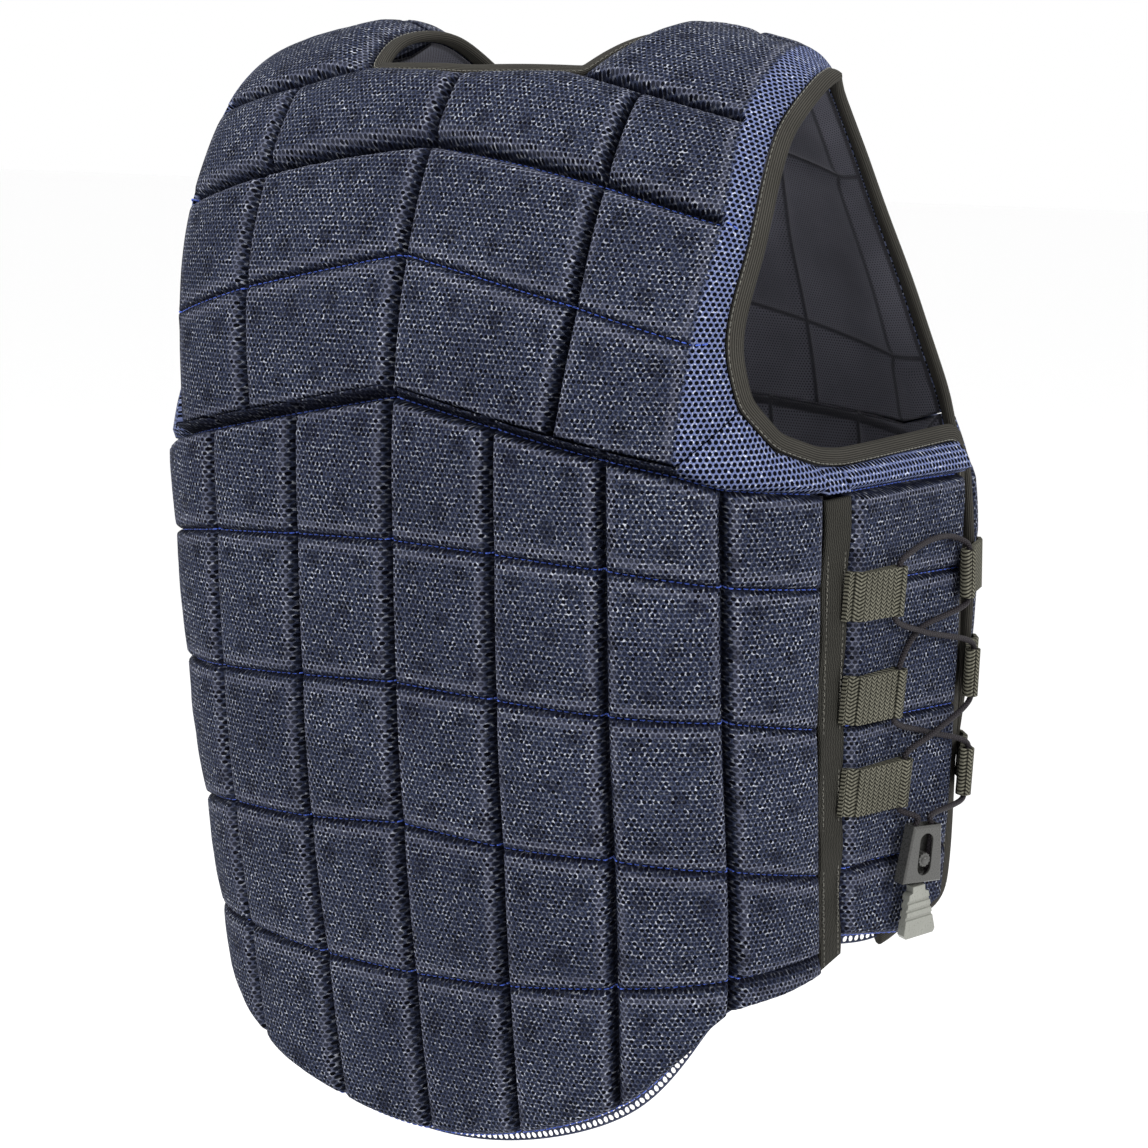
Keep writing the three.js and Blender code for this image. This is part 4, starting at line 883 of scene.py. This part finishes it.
# z, and how far the loop's folded end lies in front of the flap's edge or behind the front panel's
tapeLoops = [(0.481, 31.4), (0.5705, 35.0), (0.652, 40.7)]
edgeLoops = [(0.4795, 44.1), (0.5675, 36.7), (0.655, 34.5)]
laceCrossings = [(0.075, 0.522, 7.2, 3.6), (0.175, 0.6135, 7.2, 3.4)]
laceTop = [(-0.05, 0.452, 6), (0.1, 0.444, 5), (0.255, 0.4475, 3.5)]
webbing = {"height": 24.5, "thickness": 1.3, "eyeRadius": 2.7, "edgeRise": 3}
eyeRise = 1.6 + form["gap"] + webbing["eyeRadius"] + webbing["thickness"]


def borderDepth(border, z):
    points = formPoints(border[:, 0], border[:, 1])
    order = np.argsort(points[:, 2])
    return np.interp(z, points[order, 2], points[order, 1])


def throughEye(loop, lift, side, upwards):
    z = -loop[0] * form["height"]
    edge = borderDepth(flapBack if side > 0 else frontSide, z)
    place, _, _, up = flankFrame(edge + side * loop[1], z, lift, side)
    ends = [place + up * share * webbing["height"] / 2 for share in (-1.15, -0.6, 0.6, 1.15)]
    return ends if upwards else ends[::-1]


flapBack = borderPlaces(panelPlans["side_flap"], "left")
frontSide = borderPlaces(panelPlans["front_body"], "right")


def crossing(y, z, lift):
    return [flankPoint(y * form["backDepth"], -z * form["height"], lift)]


def lockPoint(x, z):
    place, backward, out, up = flankFrame(
        lock["y"] * form["backDepth"], -lock["z"] * form["height"], lock["rise"], 1)
    turned = backward * math.cos(lock["turn"]) - out * math.sin(lock["turn"])
    return place + turned * x + up * z


def lockLane(side, downwards):
    half = lock["height"] / 2
    inLock = [(lock["lane"], z) for z in (half - lock["inset"], 0, lock["inset"] - half)]
    end = (lock["clipLane"], -half - lock["clipGap"] + laceSizes["radius"])
    lane = [(lock["mouth"], half + lock["lip"]), (lock["throat"], half), *inLock, end]
    points = [lockPoint(side * x, z) for x, z in lane]
    return points if downwards else points[::-1]


def centripetalCurve(points, step):
    points = np.array(points)
    points = np.vstack([2 * points[0] - points[1], points, 2 * points[-1] - points[-2]])
    made = []
    for i in range(1, len(points) - 2):
        a, b, c, d = points[i - 1:i + 3]
        ta, tb, tc = (max(np.linalg.norm(q - p) ** 0.5, 1e-4) for p, q in ((a, b), (b, c), (c, d)))
        start = ((b - a) / ta - (c - a) / (ta + tb) + (c - b) / tb) * tb
        end = ((c - b) / tb - (d - b) / (tb + tc) + (d - c) / tc) * tb
        count = max(int(np.linalg.norm(c - b) / step), 2)
        t = np.linspace(0, 1, count, endpoint=False)[:, None]
        made.append(cubic(b, c - b, start, end, t))
    return np.vstack(made + [points[-2:-1]])


laceRoute = (
    lockLane(1, False) + throughEye(tapeLoops[2], eyeRise, 1, True) + crossing(*laceCrossings[1][:3])
    + throughEye(edgeLoops[1], webbing["edgeRise"], -1, True) + crossing(*laceCrossings[0][:3])
    + throughEye(tapeLoops[0], eyeRise, 1, True) + [p for place in laceTop for p in crossing(*place)]
    + throughEye(edgeLoops[0], webbing["edgeRise"], -1, False)
    + crossing(*laceCrossings[0][:2], laceCrossings[0][3])
    + throughEye(tapeLoops[1], eyeRise, 1, False) + crossing(*laceCrossings[1][:2], laceCrossings[1][3])
    + throughEye(edgeLoops[2], webbing["edgeRise"], -1, False) + lockLane(-1, True)
)
laceLine = centripetalCurve(laceRoute, laceSizes["step"])


def tubeObject(name, line, radius, sides):
    along = unit(np.gradient(line, axis=0))
    side = np.zeros_like(line)
    side[0] = unit(np.cross(along[0], [0, 0, 1.0]) + 1e-3)
    for k in range(1, len(line)):
        side[k] = unit(side[k - 1] - along[k] * np.dot(side[k - 1], along[k]))
    other = np.cross(along, side)
    angles = np.linspace(0, 2 * math.pi, sides + 1)
    run = runAlong(line)
    rings = line[:, None] + radius * (
        side[:, None] * np.cos(angles)[None, :, None] + other[:, None] * np.sin(angles)[None, :, None])
    uv = np.stack(np.broadcast_arrays(run[:, None], (angles * radius)[None, :]), axis=2)
    return gridObject(name, [rings], uv, wrap=True), run[-1]


lace, laceLength = tubeObject("lace_braid_right", laceLine, laceSizes["radius"], laceSizes["sides"])
keepPiece(lace)
print("lace", round(laceLength), "mm")


# Copies of the hard nodes and the webbing loops, with their edges rounded.
def softenedCopy(node, name, width, sharp=28, segments=2):
    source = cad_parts[node]
    bm = bmesh.new()
    bm.from_mesh(source.data)
    bmesh.ops.remove_doubles(bm, verts=bm.verts[:], dist=2e-6)
    bmesh.ops.dissolve_limit(bm, angle_limit=math.radians(2), verts=bm.verts[:], edges=bm.edges[:])
    edges = [e for e in bm.edges if len(e.link_faces) == 2 and e.calc_face_angle(0) > math.radians(sharp)]
    bmesh.ops.bevel(bm, geom=edges, offset=width * mm, affect="EDGES", segments=segments, profile=0.5,
                    material=-1, clamp_overlap=True)
    bmesh.ops.recalc_face_normals(bm, faces=bm.faces[:])
    for face in bm.faces:
        face.smooth = True
    mesh = bpy.data.meshes.new(name)
    bm.to_mesh(mesh)
    bm.free()
    obj = linkedObject(name, mesh)
    weighted = obj.modifiers.new("even shading", "WEIGHTED_NORMAL")
    weighted.keep_sharp = False
    return obj


hardCopies = {
    "lock_housing": ("lock_case", 0.9), "lock_roller": ("lock_wheel", 0.25),
    "lace_end_clip": ("lace_clip", 0.35),
}
for kind in ("tape", "edge"):
    for k in (1, 2, 3):
        hardCopies[f"{kind}_loop_{k}"] = (f"{kind}_webbing_{k}", 0.3)
for node, (name, width) in hardCopies.items():
    for side in ("right", "left"):
        pieces[f"{name}_{side}"] = softenedCopy(f"{node}_{side}", f"{name}_{side}", width)
pieces["zip_tape"] = softenedCopy("front_zip", "zip_tape", 0.3)
pieces["zip_puller"] = softenedCopy("zip_pull", "zip_puller", 0.4)
print("hard pieces made")


# Materials
def srgb(red, green, blue):
    def linear(value):
        value /= 255
        return value / 12.92 if value <= 0.04045 else ((value + 0.055) / 1.055) ** 2.4
    return (linear(red), linear(green), linear(blue), 1.0)


def addNode(tree, kind, inputs=None, **settings):
    node = tree.nodes.new(kind)
    for key, value in settings.items():
        setattr(node, key, value)
    for socket, value in (inputs or {}).items():
        if isinstance(value, bpy.types.NodeSocket):
            tree.links.new(value, node.inputs[socket])
        else:
            node.inputs[socket].default_value = value
    return node


def math2(tree, operation, a, b=0.0, c=0.0):
    return addNode(tree, "ShaderNodeMath", {0: a, 1: b, 2: c}, operation=operation).outputs[0]


def times(tree, a, b):
    return math2(tree, "MULTIPLY", a, b)


def split(tree, vector):
    return addNode(tree, "ShaderNodeSeparateXYZ", {0: vector}).outputs


def joined(tree, x, y=0.0, z=0.0):
    return addNode(tree, "ShaderNodeCombineXYZ", {0: x, 1: y, 2: z}).outputs[0]


def noiseMask(tree, place, scale, detail=2.0):
    noiseNode = addNode(tree, "ShaderNodeTexNoise", {"Vector": place, "Scale": scale, "Detail": detail})
    return noiseNode.outputs["Fac"]


def vector2(tree, operation, a, b=(0, 0, 0)):
    node = addNode(tree, "ShaderNodeVectorMath", {0: a, 1: b}, operation=operation)
    return node.outputs["Value" if operation in ("LENGTH", "DOT_PRODUCT") else "Vector"]


def mapRange(tree, value, low, high, first=0.0, last=1.0):
    return addNode(tree, "ShaderNodeMapRange", {0: value, 1: low, 2: high, 3: first, 4: last},
                   interpolation_type="SMOOTHSTEP").outputs[0]


def mixColour(tree, factor, a, b):
    return addNode(tree, "ShaderNodeMix", {0: factor, 6: a, 7: b}, data_type="RGBA").outputs[2]


def newGroup(name, inputs, outputs):
    tree = bpy.data.node_groups.new(name, "ShaderNodeTree")
    for title, kind, value in inputs:
        socket = tree.interface.new_socket(name=title, in_out="INPUT", socket_type=kind)
        if value is not None:
            socket.default_value = value
    for title, kind in outputs:
        tree.interface.new_socket(name=title, in_out="OUTPUT", socket_type=kind)
    return tree, tree.nodes.new("NodeGroupInput").outputs, tree.nodes.new("NodeGroupOutput").inputs


# Round holes on a hexagonal lattice, as in a knitted spacer mesh.
def makeHoleLattice():
    tree, given, out = newGroup(
        "hole lattice",
        [("Place", "NodeSocketVector", None), ("Pitch", "NodeSocketFloat", 0.0026),
         ("Hole", "NodeSocketFloat", 0.3), ("Softness", "NodeSocketFloat", 0.12)],
        [("Hole", "NodeSocketFloat"), ("Cell", "NodeSocketFloat")])
    row = times(tree, given["Pitch"], math.sqrt(3))
    size = joined(tree, given["Pitch"], row, 1.0)
    cells = vector2(tree, "DIVIDE", given["Place"], size)
    distances, tones = [], []
    for shift in (0.0, 0.5):
        moved = vector2(tree, "ADD", cells, (shift, shift, 0))
        local = vector2(tree, "SUBTRACT", vector2(tree, "FRACTION", moved), (0.5, 0.5, 0))
        distances.append(vector2(tree, "LENGTH", vector2(tree, "MULTIPLY", local, (1, math.sqrt(3), 0))))
        whole = vector2(tree, "ADD", vector2(tree, "FLOOR", moved), (shift * 31, 0, 0))
        random = addNode(tree, "ShaderNodeTexWhiteNoise", {"Vector": whole}, noise_dimensions="2D")
        tones.append(random.outputs[0])
    nearest = math2(tree, "MINIMUM", distances[0], distances[1])
    rim = math2(tree, "ADD", given["Hole"], given["Softness"])
    tree.links.new(mapRange(tree, nearest, given["Hole"], rim, 1.0, 0.0), out["Hole"])
    first = math2(tree, "LESS_THAN", distances[0], distances[1])
    tone = addNode(tree, "ShaderNodeMix", {0: first, 2: tones[1], 3: tones[0]}, data_type="FLOAT")
    tree.links.new(tone.outputs[0], out["Cell"])
    return tree


# Fine ribs across a strip, bent into herringbones when Zigzag is above 0.
def makeRibs():
    tree, given, out = newGroup(
        "ribs",
        [("Place", "NodeSocketVector", None), ("Pitch", "NodeSocketFloat", 0.0016),
         ("Zigzag", "NodeSocketFloat", 0.0), ("Zigzag Pitch", "NodeSocketFloat", 0.003),
         ("Gap", "NodeSocketFloat", 0.0)],
        [("Rib", "NodeSocketFloat")])
    parts = split(tree, given["Place"])
    turns = math2(tree, "DIVIDE", parts["X"], given["Zigzag Pitch"])
    fold = math2(tree, "PINGPONG", turns, 0.5)
    swing = times(tree, fold, given["Zigzag"])
    count = math2(tree, "ADD", math2(tree, "DIVIDE", parts["Y"], given["Pitch"]), swing)
    wave = math2(tree, "SINE", times(tree, count, 2 * math.pi))
    rib = math2(tree, "MULTIPLY_ADD", wave, 0.5, 0.5)
    between = times(tree, mapRange(tree, fold, 0.03, 0.12, 1.0, 0.0), given["Gap"])
    tree.links.new(times(tree, rib, math2(tree, "SUBTRACT", 1.0, between)), out["Rib"])
    return tree


# Slight unevenness of dye and dust.
def makeMottle():
    tree, given, out = newGroup(
        "mottle", [("Place", "NodeSocketVector", None), ("Scale", "NodeSocketFloat", 30.0)],
        [("Tone", "NodeSocketFloat")])
    coarse = noiseMask(tree, given["Place"], given["Scale"], 4.0)
    tree.links.new(mapRange(tree, coarse, 0.3, 0.7), out["Tone"])
    return tree


groups = {"holes": makeHoleLattice(), "ribs": makeRibs(), "mottle": makeMottle()}


def placed(tree, name, inputs):
    return addNode(tree, "ShaderNodeGroup", inputs, node_tree=groups[name]).outputs


def newMaterial(name, roughness, sheen=0.0, sheenTint=(1, 1, 1, 1), specular=0.5):
    material = bpy.data.materials.new(name)
    material.use_nodes = True
    tree = material.node_tree
    shader = tree.nodes["Principled BSDF"]
    shader.inputs["Roughness"].default_value = roughness
    shader.inputs["Sheen Weight"].default_value = sheen
    shader.inputs["Sheen Roughness"].default_value = 0.45
    shader.inputs["Sheen Tint"].default_value = sheenTint
    shader.inputs["Specular IOR Level"].default_value = specular
    objectPlace = addNode(tree, "ShaderNodeTexCoord").outputs["Object"]
    clothPlace = addNode(tree, "ShaderNodeUVMap", uv_map="cloth").outputs["UV"]
    return material, tree, shader, objectPlace, clothPlace


def addBump(tree, shader, height, distance, strength=1.0):
    bump = addNode(tree, "ShaderNodeBump", {"Height": height, "Distance": distance, "Strength": strength})
    tree.links.new(bump.outputs[0], shader.inputs["Normal"])


meshLook = {
    "yarn": (48, 54, 74),
    "shade": (30, 34, 52),
    "glint": (186, 190, 200),
    "hole": (2, 2, 6),
    "bevel": (92, 102, 140),
    "bevelGlint": (206, 212, 230),
    "bevelHole": (3, 4, 10),
    "pitch": 0.0027,
    "bevelPitch": 0.0031,
    "holeSize": 0.3,
    "bevelHoleSize": 0.31,
    "spotRadius": 0.11,
    "spotStrength": 0.45,
}


def makeBlockMesh():
    look = meshLook
    material, tree, shader, place, cloth = newMaterial("block mesh", 0.7, specular=0.04)
    quilt = addNode(tree, "ShaderNodeAttribute", attribute_name="quilt").outputs["Vector"]
    spot = addNode(tree, "ShaderNodeAttribute", attribute_name="spot").outputs["Vector"]
    near = split(tree, quilt)
    strip = near["Z"]
    holes = placed(tree, "holes", {"Place": cloth, "Pitch": look["pitch"], "Hole": look["holeSize"]})
    wide = placed(
        tree, "holes", {"Place": cloth, "Pitch": look["bevelPitch"], "Hole": look["bevelHoleSize"]})
    tone = placed(tree, "mottle", {"Place": place, "Scale": 24.0})["Tone"]
    yarns = noiseMask(tree, cloth, 700.0)
    lit = mapRange(tree, holes["Cell"], 0.3, 1.0, 0.25, 1.0)
    glint = times(tree, mapRange(tree, yarns, 0.5, 0.66), lit)
    yarn = mixColour(tree, glint, srgb(*look["yarn"]), srgb(*look["glint"]))
    yarn = mixColour(tree, times(tree, tone, 0.4), yarn, srgb(*look["shade"]))
    rows = split(tree, spot)["Y"]
    shift = times(tree, math2(tree, "FLOOR", rows), 0.37)
    shift = joined(tree, shift)
    cells = vector2(tree, "FRACTION", vector2(tree, "ADD", spot, shift))
    centre = vector2(tree, "MULTIPLY", vector2(tree, "SUBTRACT", cells, (0.5, 0.5, 0.5)), (1, 1, 0))
    ragged = noiseMask(tree, cloth, 300.0)
    radius = math2(tree, "ADD", vector2(tree, "LENGTH", centre), times(tree, ragged, 0.2))
    pit = mapRange(tree, radius, look["spotRadius"] + 0.1, look["spotRadius"] + 0.17, 1.0, 0.0)
    pit = times(tree, pit, math2(tree, "SUBTRACT", 1.0, strip))
    edge = math2(tree, "MINIMUM", near["X"], near["Y"])
    # Dust and painted shade: the mesh is darkened towards the grooves, most near the seams and none past
    # 3.4 mm.
    groove = mapRange(tree, edge, 0.4, 3.4, 0.75, 0.0)
    # Painted highlight: a band 2.5 to 9 mm from the seams is lightened, as if the stretched mesh there
    # caught the light.
    paintedEdgeHighlight = times(tree, mapRange(tree, edge, 2.5, 4.5), mapRange(tree, edge, 5.0, 9.0, 1.0, 0.0))
    yarn = mixColour(tree, times(tree, paintedEdgeHighlight, 0.16), yarn, srgb(150, 152, 170))
    yarn = mixColour(tree, times(tree, pit, look["spotStrength"]), yarn, srgb(14, 16, 30))
    hole = times(tree, holes["Hole"], mapRange(tree, holes["Cell"], 0.0, 1.0, 0.7, 1.0))
    block = mixColour(tree, hole, yarn, srgb(*look["hole"]))
    # The grooves' dust and painted shade go over yarns and holes alike.
    block = mixColour(tree, groove, block, srgb(10, 11, 22))
    bevelGlint = times(tree, glint, 0.8)
    bevel = mixColour(tree, bevelGlint, srgb(*look["bevel"]), srgb(*look["bevelGlint"]))
    bevel = mixColour(tree, wide["Hole"], bevel, srgb(*look["bevelHole"]))
    tree.links.new(mixColour(tree, strip, block, bevel), shader.inputs["Base Color"])
    raised = math2(tree, "SUBTRACT", times(tree, yarns, 0.35), holes["Hole"])
    raised = math2(tree, "SUBTRACT", raised, times(tree, pit, 1.2))
    addBump(tree, shader, raised, 0.0006, 0.8)
    rough = math2(tree, "MULTIPLY_ADD", glint, -0.3, 0.78)
    tree.links.new(rough, shader.inputs["Roughness"])
    return material


def makeLinerMesh():
    material, tree, shader, place, cloth = newMaterial("liner mesh", 0.85, 0.15, (0.8, 0.8, 0.9, 1), 0.3)
    quilt = addNode(tree, "ShaderNodeAttribute", attribute_name="quilt").outputs["Vector"]
    near = split(tree, quilt)
    holes = placed(tree, "holes", {"Place": cloth, "Pitch": 0.0018, "Hole": 0.2})
    tone = placed(tree, "mottle", {"Place": place, "Scale": 18.0})["Tone"]
    base = mixColour(tree, tone, srgb(88, 88, 98), srgb(66, 66, 75))
    edge = math2(tree, "MINIMUM", near["X"], near["Y"])
    base = mixColour(tree, mapRange(tree, edge, 0.6, 2.2, 0.8, 0.0), base, srgb(24, 24, 30))
    tree.links.new(mixColour(tree, holes["Hole"], base, srgb(34, 34, 40)), shader.inputs["Base Color"])
    addBump(tree, shader, times(tree, holes["Hole"], -1.0), 0.0003, 0.7)
    return material


def makeWoven(
    name, light, dark, pitch, zigzag=0.0, zigzagPitch=0.003, depth=0.0003, objectAxes=None, gap=0.0,
):
    material, tree, shader, place, cloth = newMaterial(name, 0.78, specular=0.05)
    source = cloth
    if objectAxes:
        parts = split(tree, place)
        source = joined(tree, parts[objectAxes[0]], parts[objectAxes[1]])
    rib = placed(tree, "ribs", {
        "Place": source, "Pitch": pitch, "Zigzag": zigzag, "Zigzag Pitch": zigzagPitch, "Gap": gap})["Rib"]
    parts = split(tree, source)
    turned = joined(tree, parts["Y"], parts["X"])
    cross = placed(tree, "ribs", {"Place": turned, "Pitch": pitch * 0.6})["Rib"]
    tone = placed(tree, "mottle", {"Place": place, "Scale": 40.0})["Tone"]
    weave = times(tree, rib, math2(tree, "MULTIPLY_ADD", cross, 0.35, 0.65))
    fine = noiseMask(tree, source, 900.0)
    colour = mixColour(tree, weave, srgb(*dark), srgb(*light))
    colour = mixColour(tree, times(tree, tone, 0.2), colour, srgb(*dark))
    colour = mixColour(tree, mapRange(tree, fine, 0.55, 0.75, 0.0, 0.35), colour, srgb(*light))
    tree.links.new(colour, shader.inputs["Base Color"])
    addBump(tree, shader, math2(tree, "ADD", weave, times(tree, fine, 0.3)), depth, 0.8)
    return material


def makeThread(name, colour):
    material, tree, shader, place, _ = newMaterial(name, 0.55, 0.3, (1, 1, 1, 1), 0.4)
    fibre = noiseMask(tree, place, 1500.0)
    dark = srgb(*[c * 0.6 for c in colour])
    shade = mixColour(tree, mapRange(tree, fibre, 0.35, 0.65), dark, srgb(*colour))
    tree.links.new(shade, shader.inputs["Base Color"])
    addBump(tree, shader, fibre, 0.0002, 0.5)
    return material


# Braid: two families of strands that wind round the cord in opposite directions.
def makeBraid():
    material, tree, shader, place, cloth = newMaterial("lace braid", 0.6, specular=0.2)
    parts = split(tree, cloth)
    round_ = 2 * math.pi * laceSizes["radius"] * mm
    turns = times(tree, parts["Y"], 4 / round_)
    run = times(tree, parts["X"], 1 / 0.0017)
    waves = []
    for sign in (1, -1):
        phase = math2(tree, "ADD", run, times(tree, turns, float(sign)))
        waves.append(math2(tree, "SINE", times(tree, phase, math.pi)))
    strand = math2(tree, "ABSOLUTE", times(tree, waves[0], waves[1]))
    fine = noiseMask(tree, cloth, 1600.0)
    colour = mixColour(tree, strand, srgb(14, 12, 15), srgb(46, 41, 46))
    colour = mixColour(tree, mapRange(tree, fine, 0.5, 0.8, 0.0, 0.4), colour, srgb(74, 69, 74))
    tree.links.new(colour, shader.inputs["Base Color"])
    addBump(tree, shader, strand, 0.0004, 0.9)
    return material


def makeMoulded(name, colour, roughness, worn=(190, 190, 186)):
    material, tree, shader, place, _ = newMaterial(name, roughness)
    grain = noiseMask(tree, place, 900.0, 3.0)
    tone = placed(tree, "mottle", {"Place": place, "Scale": 90.0})["Tone"]
    dark = srgb(*[c * 0.78 for c in colour])
    base = mixColour(tree, times(tree, tone, 0.25), srgb(*colour), dark)
    base = mixColour(tree, mapRange(tree, grain, 0.62, 0.8, 0.0, 0.25), base, srgb(*worn))
    tree.links.new(base, shader.inputs["Base Color"])
    rough = mapRange(tree, grain, 0.2, 0.8, roughness - 0.08, roughness + 0.12)
    tree.links.new(rough, shader.inputs["Roughness"])
    addBump(tree, shader, grain, 0.0001, 0.4)
    return material


materials = {
    "block": makeBlockMesh(),
    "liner": makeLinerMesh(),
    "binding": makeWoven("binding cloth", (72, 70, 65), (30, 29, 27), 0.0011, depth=0.00015),
    "tape": makeWoven("side tape cloth", (66, 65, 60), (16, 15, 14), 0.0013, 0.8, 0.004, depth=0.0002),
    "webbing": makeWoven("loop webbing", (128, 126, 112), (3, 3, 2), 0.0019, 2.1, 0.0042, 0.0005,
                         objectAxes=("Y", "Z"), gap=0.8),
    "net": makeWoven("hem net yarn", (74, 79, 100), (40, 44, 62), 0.0008, depth=0.0001),
    "blueThread": makeThread("blue seam thread", (58, 94, 206)),
    "oliveThread": makeThread("olive thread", (98, 96, 86)),
    "braid": makeBraid(),
    "lock": makeMoulded("lock plastic", (64, 64, 62), 0.27, (116, 116, 112)),
    "clip": makeMoulded("clip plastic", (126, 127, 120), 0.3, (168, 169, 162)),
    "zip": makeWoven("zip cloth", (44, 46, 56), (20, 21, 26), 0.0009, depth=0.0001),
}
finishOf = {
    "quilt": ("block", "block_mesh"), "top_mesh": ("block", "block_mesh"), "net": ("net", "block_mesh"),
    "liner": ("liner", "lining"), "binding": ("binding", "binding"), "side_tape": ("tape", "binding"),
    "webbing": ("webbing", "webbing"), "lace_braid": ("braid", "lace"), "lock": ("lock", "lock"),
    "lace_clip": ("clip", "clip"), "zip_tape": ("zip", "zip"), "zip_puller": ("lock", "lock"),
}
print("materials made")


# Seam threads on the panels: the rows' places, and the first and last column place of each
threadPlans = {
    "back_body": [((1, 2, 3, 4, 5, 5.93), 0.05, 11.95)],
    "back_yoke": [((1, 2), 0.3, 7.7)],
    "side_flap": [((1, 2, 3, 4, 4.9), 0.05, 1.9)],
    "front_yoke": [((2,), 0.1, 2.9), ((5,), 0.05, 2.9)],
    "front_body": [((1, 2, 3, 4, 4.92), 0.05, 4.9)],
}


def sewSeam(curve, plan, seam, first, last, spacing=1.2):
    run = runOver(cellLengths(plan["net"], False))
    start, end = np.interp((first, last), np.arange(len(run)), run)
    columnPlaces = np.interp(np.arange(start, end, spacing), run, np.arange(len(run)))
    s = panelSurface(plan, np.array([float(seam)]), columnPlaces, False)
    stitchRun(curve, s["outer"][0], s["normals"][0])


def keepThreads(threads, finish):
    threads.data.materials.append(materials[finish])
    keepPiece(threads)


for name, groupsOfSeams in threadPlans.items():
    curve = threadCurve(f"{name}_thread" if name in wholePanels else f"{name}_thread_right")
    for seams, first, last in groupsOfSeams:
        for seam in seams:
            sewSeam(curve, panelPlans[name], seam, first, last)
    keepThreads(threadObject(curve), "blueThread")


fineThread = {"stitch": 2.3, "gap": 1.0, "radius": 0.3, "rise": 0.25, "sink": 0.35}


def bandThread(name, line, aside, lift):
    points, normals, asides, _, raised = line
    places = points + asides * aside + normals * (lift + raised - form["foam"])[:, None]
    curve = threadCurve(name, fineThread)
    stitchRun(curve, places, normals, fineThread)
    return threadObject(curve)


for name, line, aside, lift in (
    ("neck_binding_thread", neckLine, 1.6, form["edge"] + binding["seam"]),
    ("edge_binding_thread_right", edgeLine, 1.7, form["edge"] + binding["seam"]),
    ("side_tape_thread_front_right", tapeLine, tape["width"] - 3.0, tapeTop),
    ("side_tape_thread_back_right", tapeLine, 3.0, tapeTop),
):
    keepThreads(bandThread(name, line, aside, lift), "oliveThread")
print("threads made")

# Every piece gets its material and its body, and the solids that it stands for are hidden.
standsFor = {
    "neck_binding_cloth": "neck_binding", "edge_binding_cloth": "edge_binding",
    "side_tape_cloth": "side_tape", "hem_net": "hem_mesh", "flap_hem_net": "flap_hem_mesh",
    "lace_braid": "lace", "zip_tape": "front_zip", "zip_puller": "zip_pull",
}
standsFor.update({name: node for node, (name, _) in hardCopies.items()})
for name, plan in panelPlans.items():
    standsFor[f"{name}_quilt"] = name
    if name in linedPanels:
        standsFor[f"{name}_liner"] = f"{name}_lining"
for name, piece in pieces.items():
    side = name.rsplit("_", 1)[1] if name.endswith(("_right", "_left")) else ""
    plain = name[: -len(side) - 1] if side else name
    if plain in standsFor:
        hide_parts(f"{standsFor[plain]}_{side}" if side else standsFor[plain])
    for key, (material, slot) in finishOf.items():
        if key in plain and "thread" not in plain:
            piece.data.materials.clear()
            piece.data.materials.append(materials[material])
            break
    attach(piece, f"roller_{side}" if plain == "lock_wheel" else "vest")


# Half the surface of a closed thin sheet, which is its flat area.
def clothArea(piece):
    return sum(polygon.area for polygon in piece.data.polygons) / 2


for name, piece in pieces.items():
    if "_liner" in name:
        area = clothArea(piece)
        net = panelPlans[name.split("_liner")[0]]["net"]
        width = cellLengths(net, False).sum() * mm
        length = max(cellLengths(net, True).sum() * mm, area / width * 1.01)
print("pieces placed")

# Stage, camera and light
view = {"azimuth": 35.0, "down": 9.0, "distance": 1.9, "height": 0.005, "lens": 115.0}
azimuth, down = math.radians(view["azimuth"]), math.radians(view["down"])
cameraData = bpy.data.cameras.new("camera")
camera = linkedObject("camera", cameraData)
cameraData.lens, cameraData.sensor_width = view["lens"], 36
aside, behind = math.sin(azimuth), math.cos(azimuth)
camera.location = (aside * view["distance"], -behind * view["distance"], view["height"])
looking = Vector((-aside * math.cos(down), behind * math.cos(down), -math.sin(down)))
camera.rotation_euler = looking.to_track_quat("-Z", "Y").to_euler()
bpy.context.scene.camera = camera

bm = bmesh.new()
bmesh.ops.create_grid(bm, x_segments=1, y_segments=1, size=14)
bmesh.ops.translate(bm, verts=bm.verts[:], vec=(0, 0, -1.0))
floorMesh = bpy.data.meshes.new("floor")
bm.to_mesh(floorMesh)
bm.free()
floor = linkedObject("floor", floorMesh)
floorMaterial, _, floorShader, _, _ = newMaterial("pale floor", 0.9)
floorShader.inputs["Base Color"].default_value = (0.98, 0.98, 0.98, 1)
floorMesh.materials.append(floorMaterial)

world = bpy.data.worlds.new("studio")
bpy.context.scene.world = world
world.use_nodes = True
background = world.node_tree.nodes["Background"]
background.inputs["Color"].default_value = (1, 1, 1, 1)
background.inputs["Strength"].default_value = 1.0
bpy.context.scene.view_settings.view_transform = "Standard"


def softBox(name, place, target, size, power):
    light = bpy.data.lights.new(name, "AREA")
    light.shape, light.size, light.energy = "DISK", size, power
    obj = linkedObject(name, light)
    obj.location = place
    obj.rotation_euler = (Vector(target) - Vector(place)).to_track_quat("-Z", "Y").to_euler()


middle = (0, 0, -0.3)
softBox("key", (-0.6, -2.2, 1.5), middle, 0.9, 44)
softBox("side", (2.4, -0.3, 0.7), middle, 0.8, 34)
softBox("top", (0.3, -0.3, 2.2), middle, 1.4, 16)
print("stage ready")
